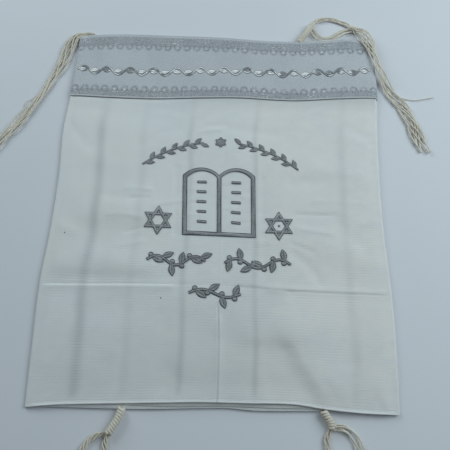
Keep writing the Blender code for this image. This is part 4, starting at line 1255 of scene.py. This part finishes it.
def add_tassel(name, tassel, seed, shader):
    """A head and loops of four strands, a knot, a tail of eight plied strands and loose ones."""
    rng, bundle = np.random.default_rng(seed), []
    if tassel.knot:
        add_wound(bundle, tassel.stem, WOUND_STEM)
        add_wound(bundle, tassel.knot, WOUND_KNOT)
    else:
        add_strands(bundle, [*tassel.stem, tassel.tail[1]], LOOP_STRANDS, BARE_HEAD, rng)
    for half, turns, points in tassel.loops:
        widths = curve((0, 0.6 * half), (25, half), (75, half), (100, 0.6 * half))
        add_strands(bundle, points, LOOP_STRANDS, widths, rng, turns, reach=LOOP_REACH)
    add_strands(bundle, tassel.tail, TAIL_STRANDS, tassel.widths, rng, tassel.turns,
                reach=tassel.reach / 1000, trim=TAIL_TRIM)
    for thickness, points in tassel.strays:
        path = raised_path(points, thickness / 1000, STRAND_PITCH)
        bundle.append(yarn(path, thickness / 1000, sides=6, plies=2, lay=STRAY_LAY))
    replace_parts(add_bodies(name + "_yarn", bundle, shader), name)


# --- stage, light, camera

AZIMUTH, ELEVATION, ROLL = 1.08, 65.87, 0.663  # in degrees
TARGET = Vector((0.0068, -0.0259, 0.0))
DISTANCE = 0.6955
LENS, SENSOR = 51.2, 36.0
FLOOR_SIZE, FLOOR_Z = 6.0, -0.0002
LAMPS = {"right": ((0.84, 0.26, 0.82), 7.2), "left": ((-0.85, 0.90, 0.76), 7.5)}
LIGHT_COLOUR = (0.86, 1.0, 1.03)
AMBIENT = 0.136


def add_lights():
    """A soft round lamp on each side, and an even glow all round."""
    for name, (place, power) in LAMPS.items():
        lamp = bpy.data.lights.new(name, "AREA")
        lamp.shape = "DISK"
        lamp.size = 1.0
        lamp.energy = power
        lamp.color = LIGHT_COLOUR
        light = add_object(name, lamp)
        light.location = place
        light.rotation_euler = Vector(place).to_track_quat("Z", "Y").to_euler()
    world = bpy.data.worlds.new("studio")
    world.use_nodes = True
    glow = world.node_tree.nodes["Background"].inputs
    glow["Color"].default_value = (*LIGHT_COLOUR, 1.0)
    glow["Strength"].default_value = AMBIENT
    bpy.context.scene.world = world


def add_floor():
    half = FLOOR_SIZE / 2
    square = ((-half, -half), (half, -half), (half, half), (-half, half))
    mesh = bpy.data.meshes.new("floor")
    mesh.from_pydata([(x, y, FLOOR_Z) for x, y in square], [], [(0, 1, 2, 3)])
    mesh.materials.append(floor_shader())
    add_object("floor", mesh)


def add_camera():
    """Turned round Z to its azimuth, tilted up to its elevation, rolled, and drawn back."""
    turns = ((AZIMUTH, "Z"), (90 - ELEVATION, "X"), (ROLL, "Z"))
    spin, tilt, roll = (Matrix.Rotation(math.radians(angle), 4, axis) for angle, axis in turns)
    lens = bpy.data.cameras.new("camera")
    lens.lens = LENS
    lens.sensor_width = SENSOR
    lens.clip_start = 0.01
    camera = add_object("camera", lens)
    back = Matrix.Translation((0.0, 0.0, DISTANCE))
    camera.matrix_world = Matrix.Translation(TARGET) @ spin @ tilt @ roll @ back
    bpy.context.scene.camera = camera


bpy.context.scene.view_settings.view_transform = "Standard"
add_camera()
add_floor()
add_lights()
white_cotton = cotton()
add_cloth(white_cotton)
add_band(band_weave())
add_seams(white_cotton)
add_embroidery()
cream_wool = wool()
for seed, (name, tassel) in enumerate(TASSELS.items()):
    add_tassel(name, tassel, seed, cream_wool)
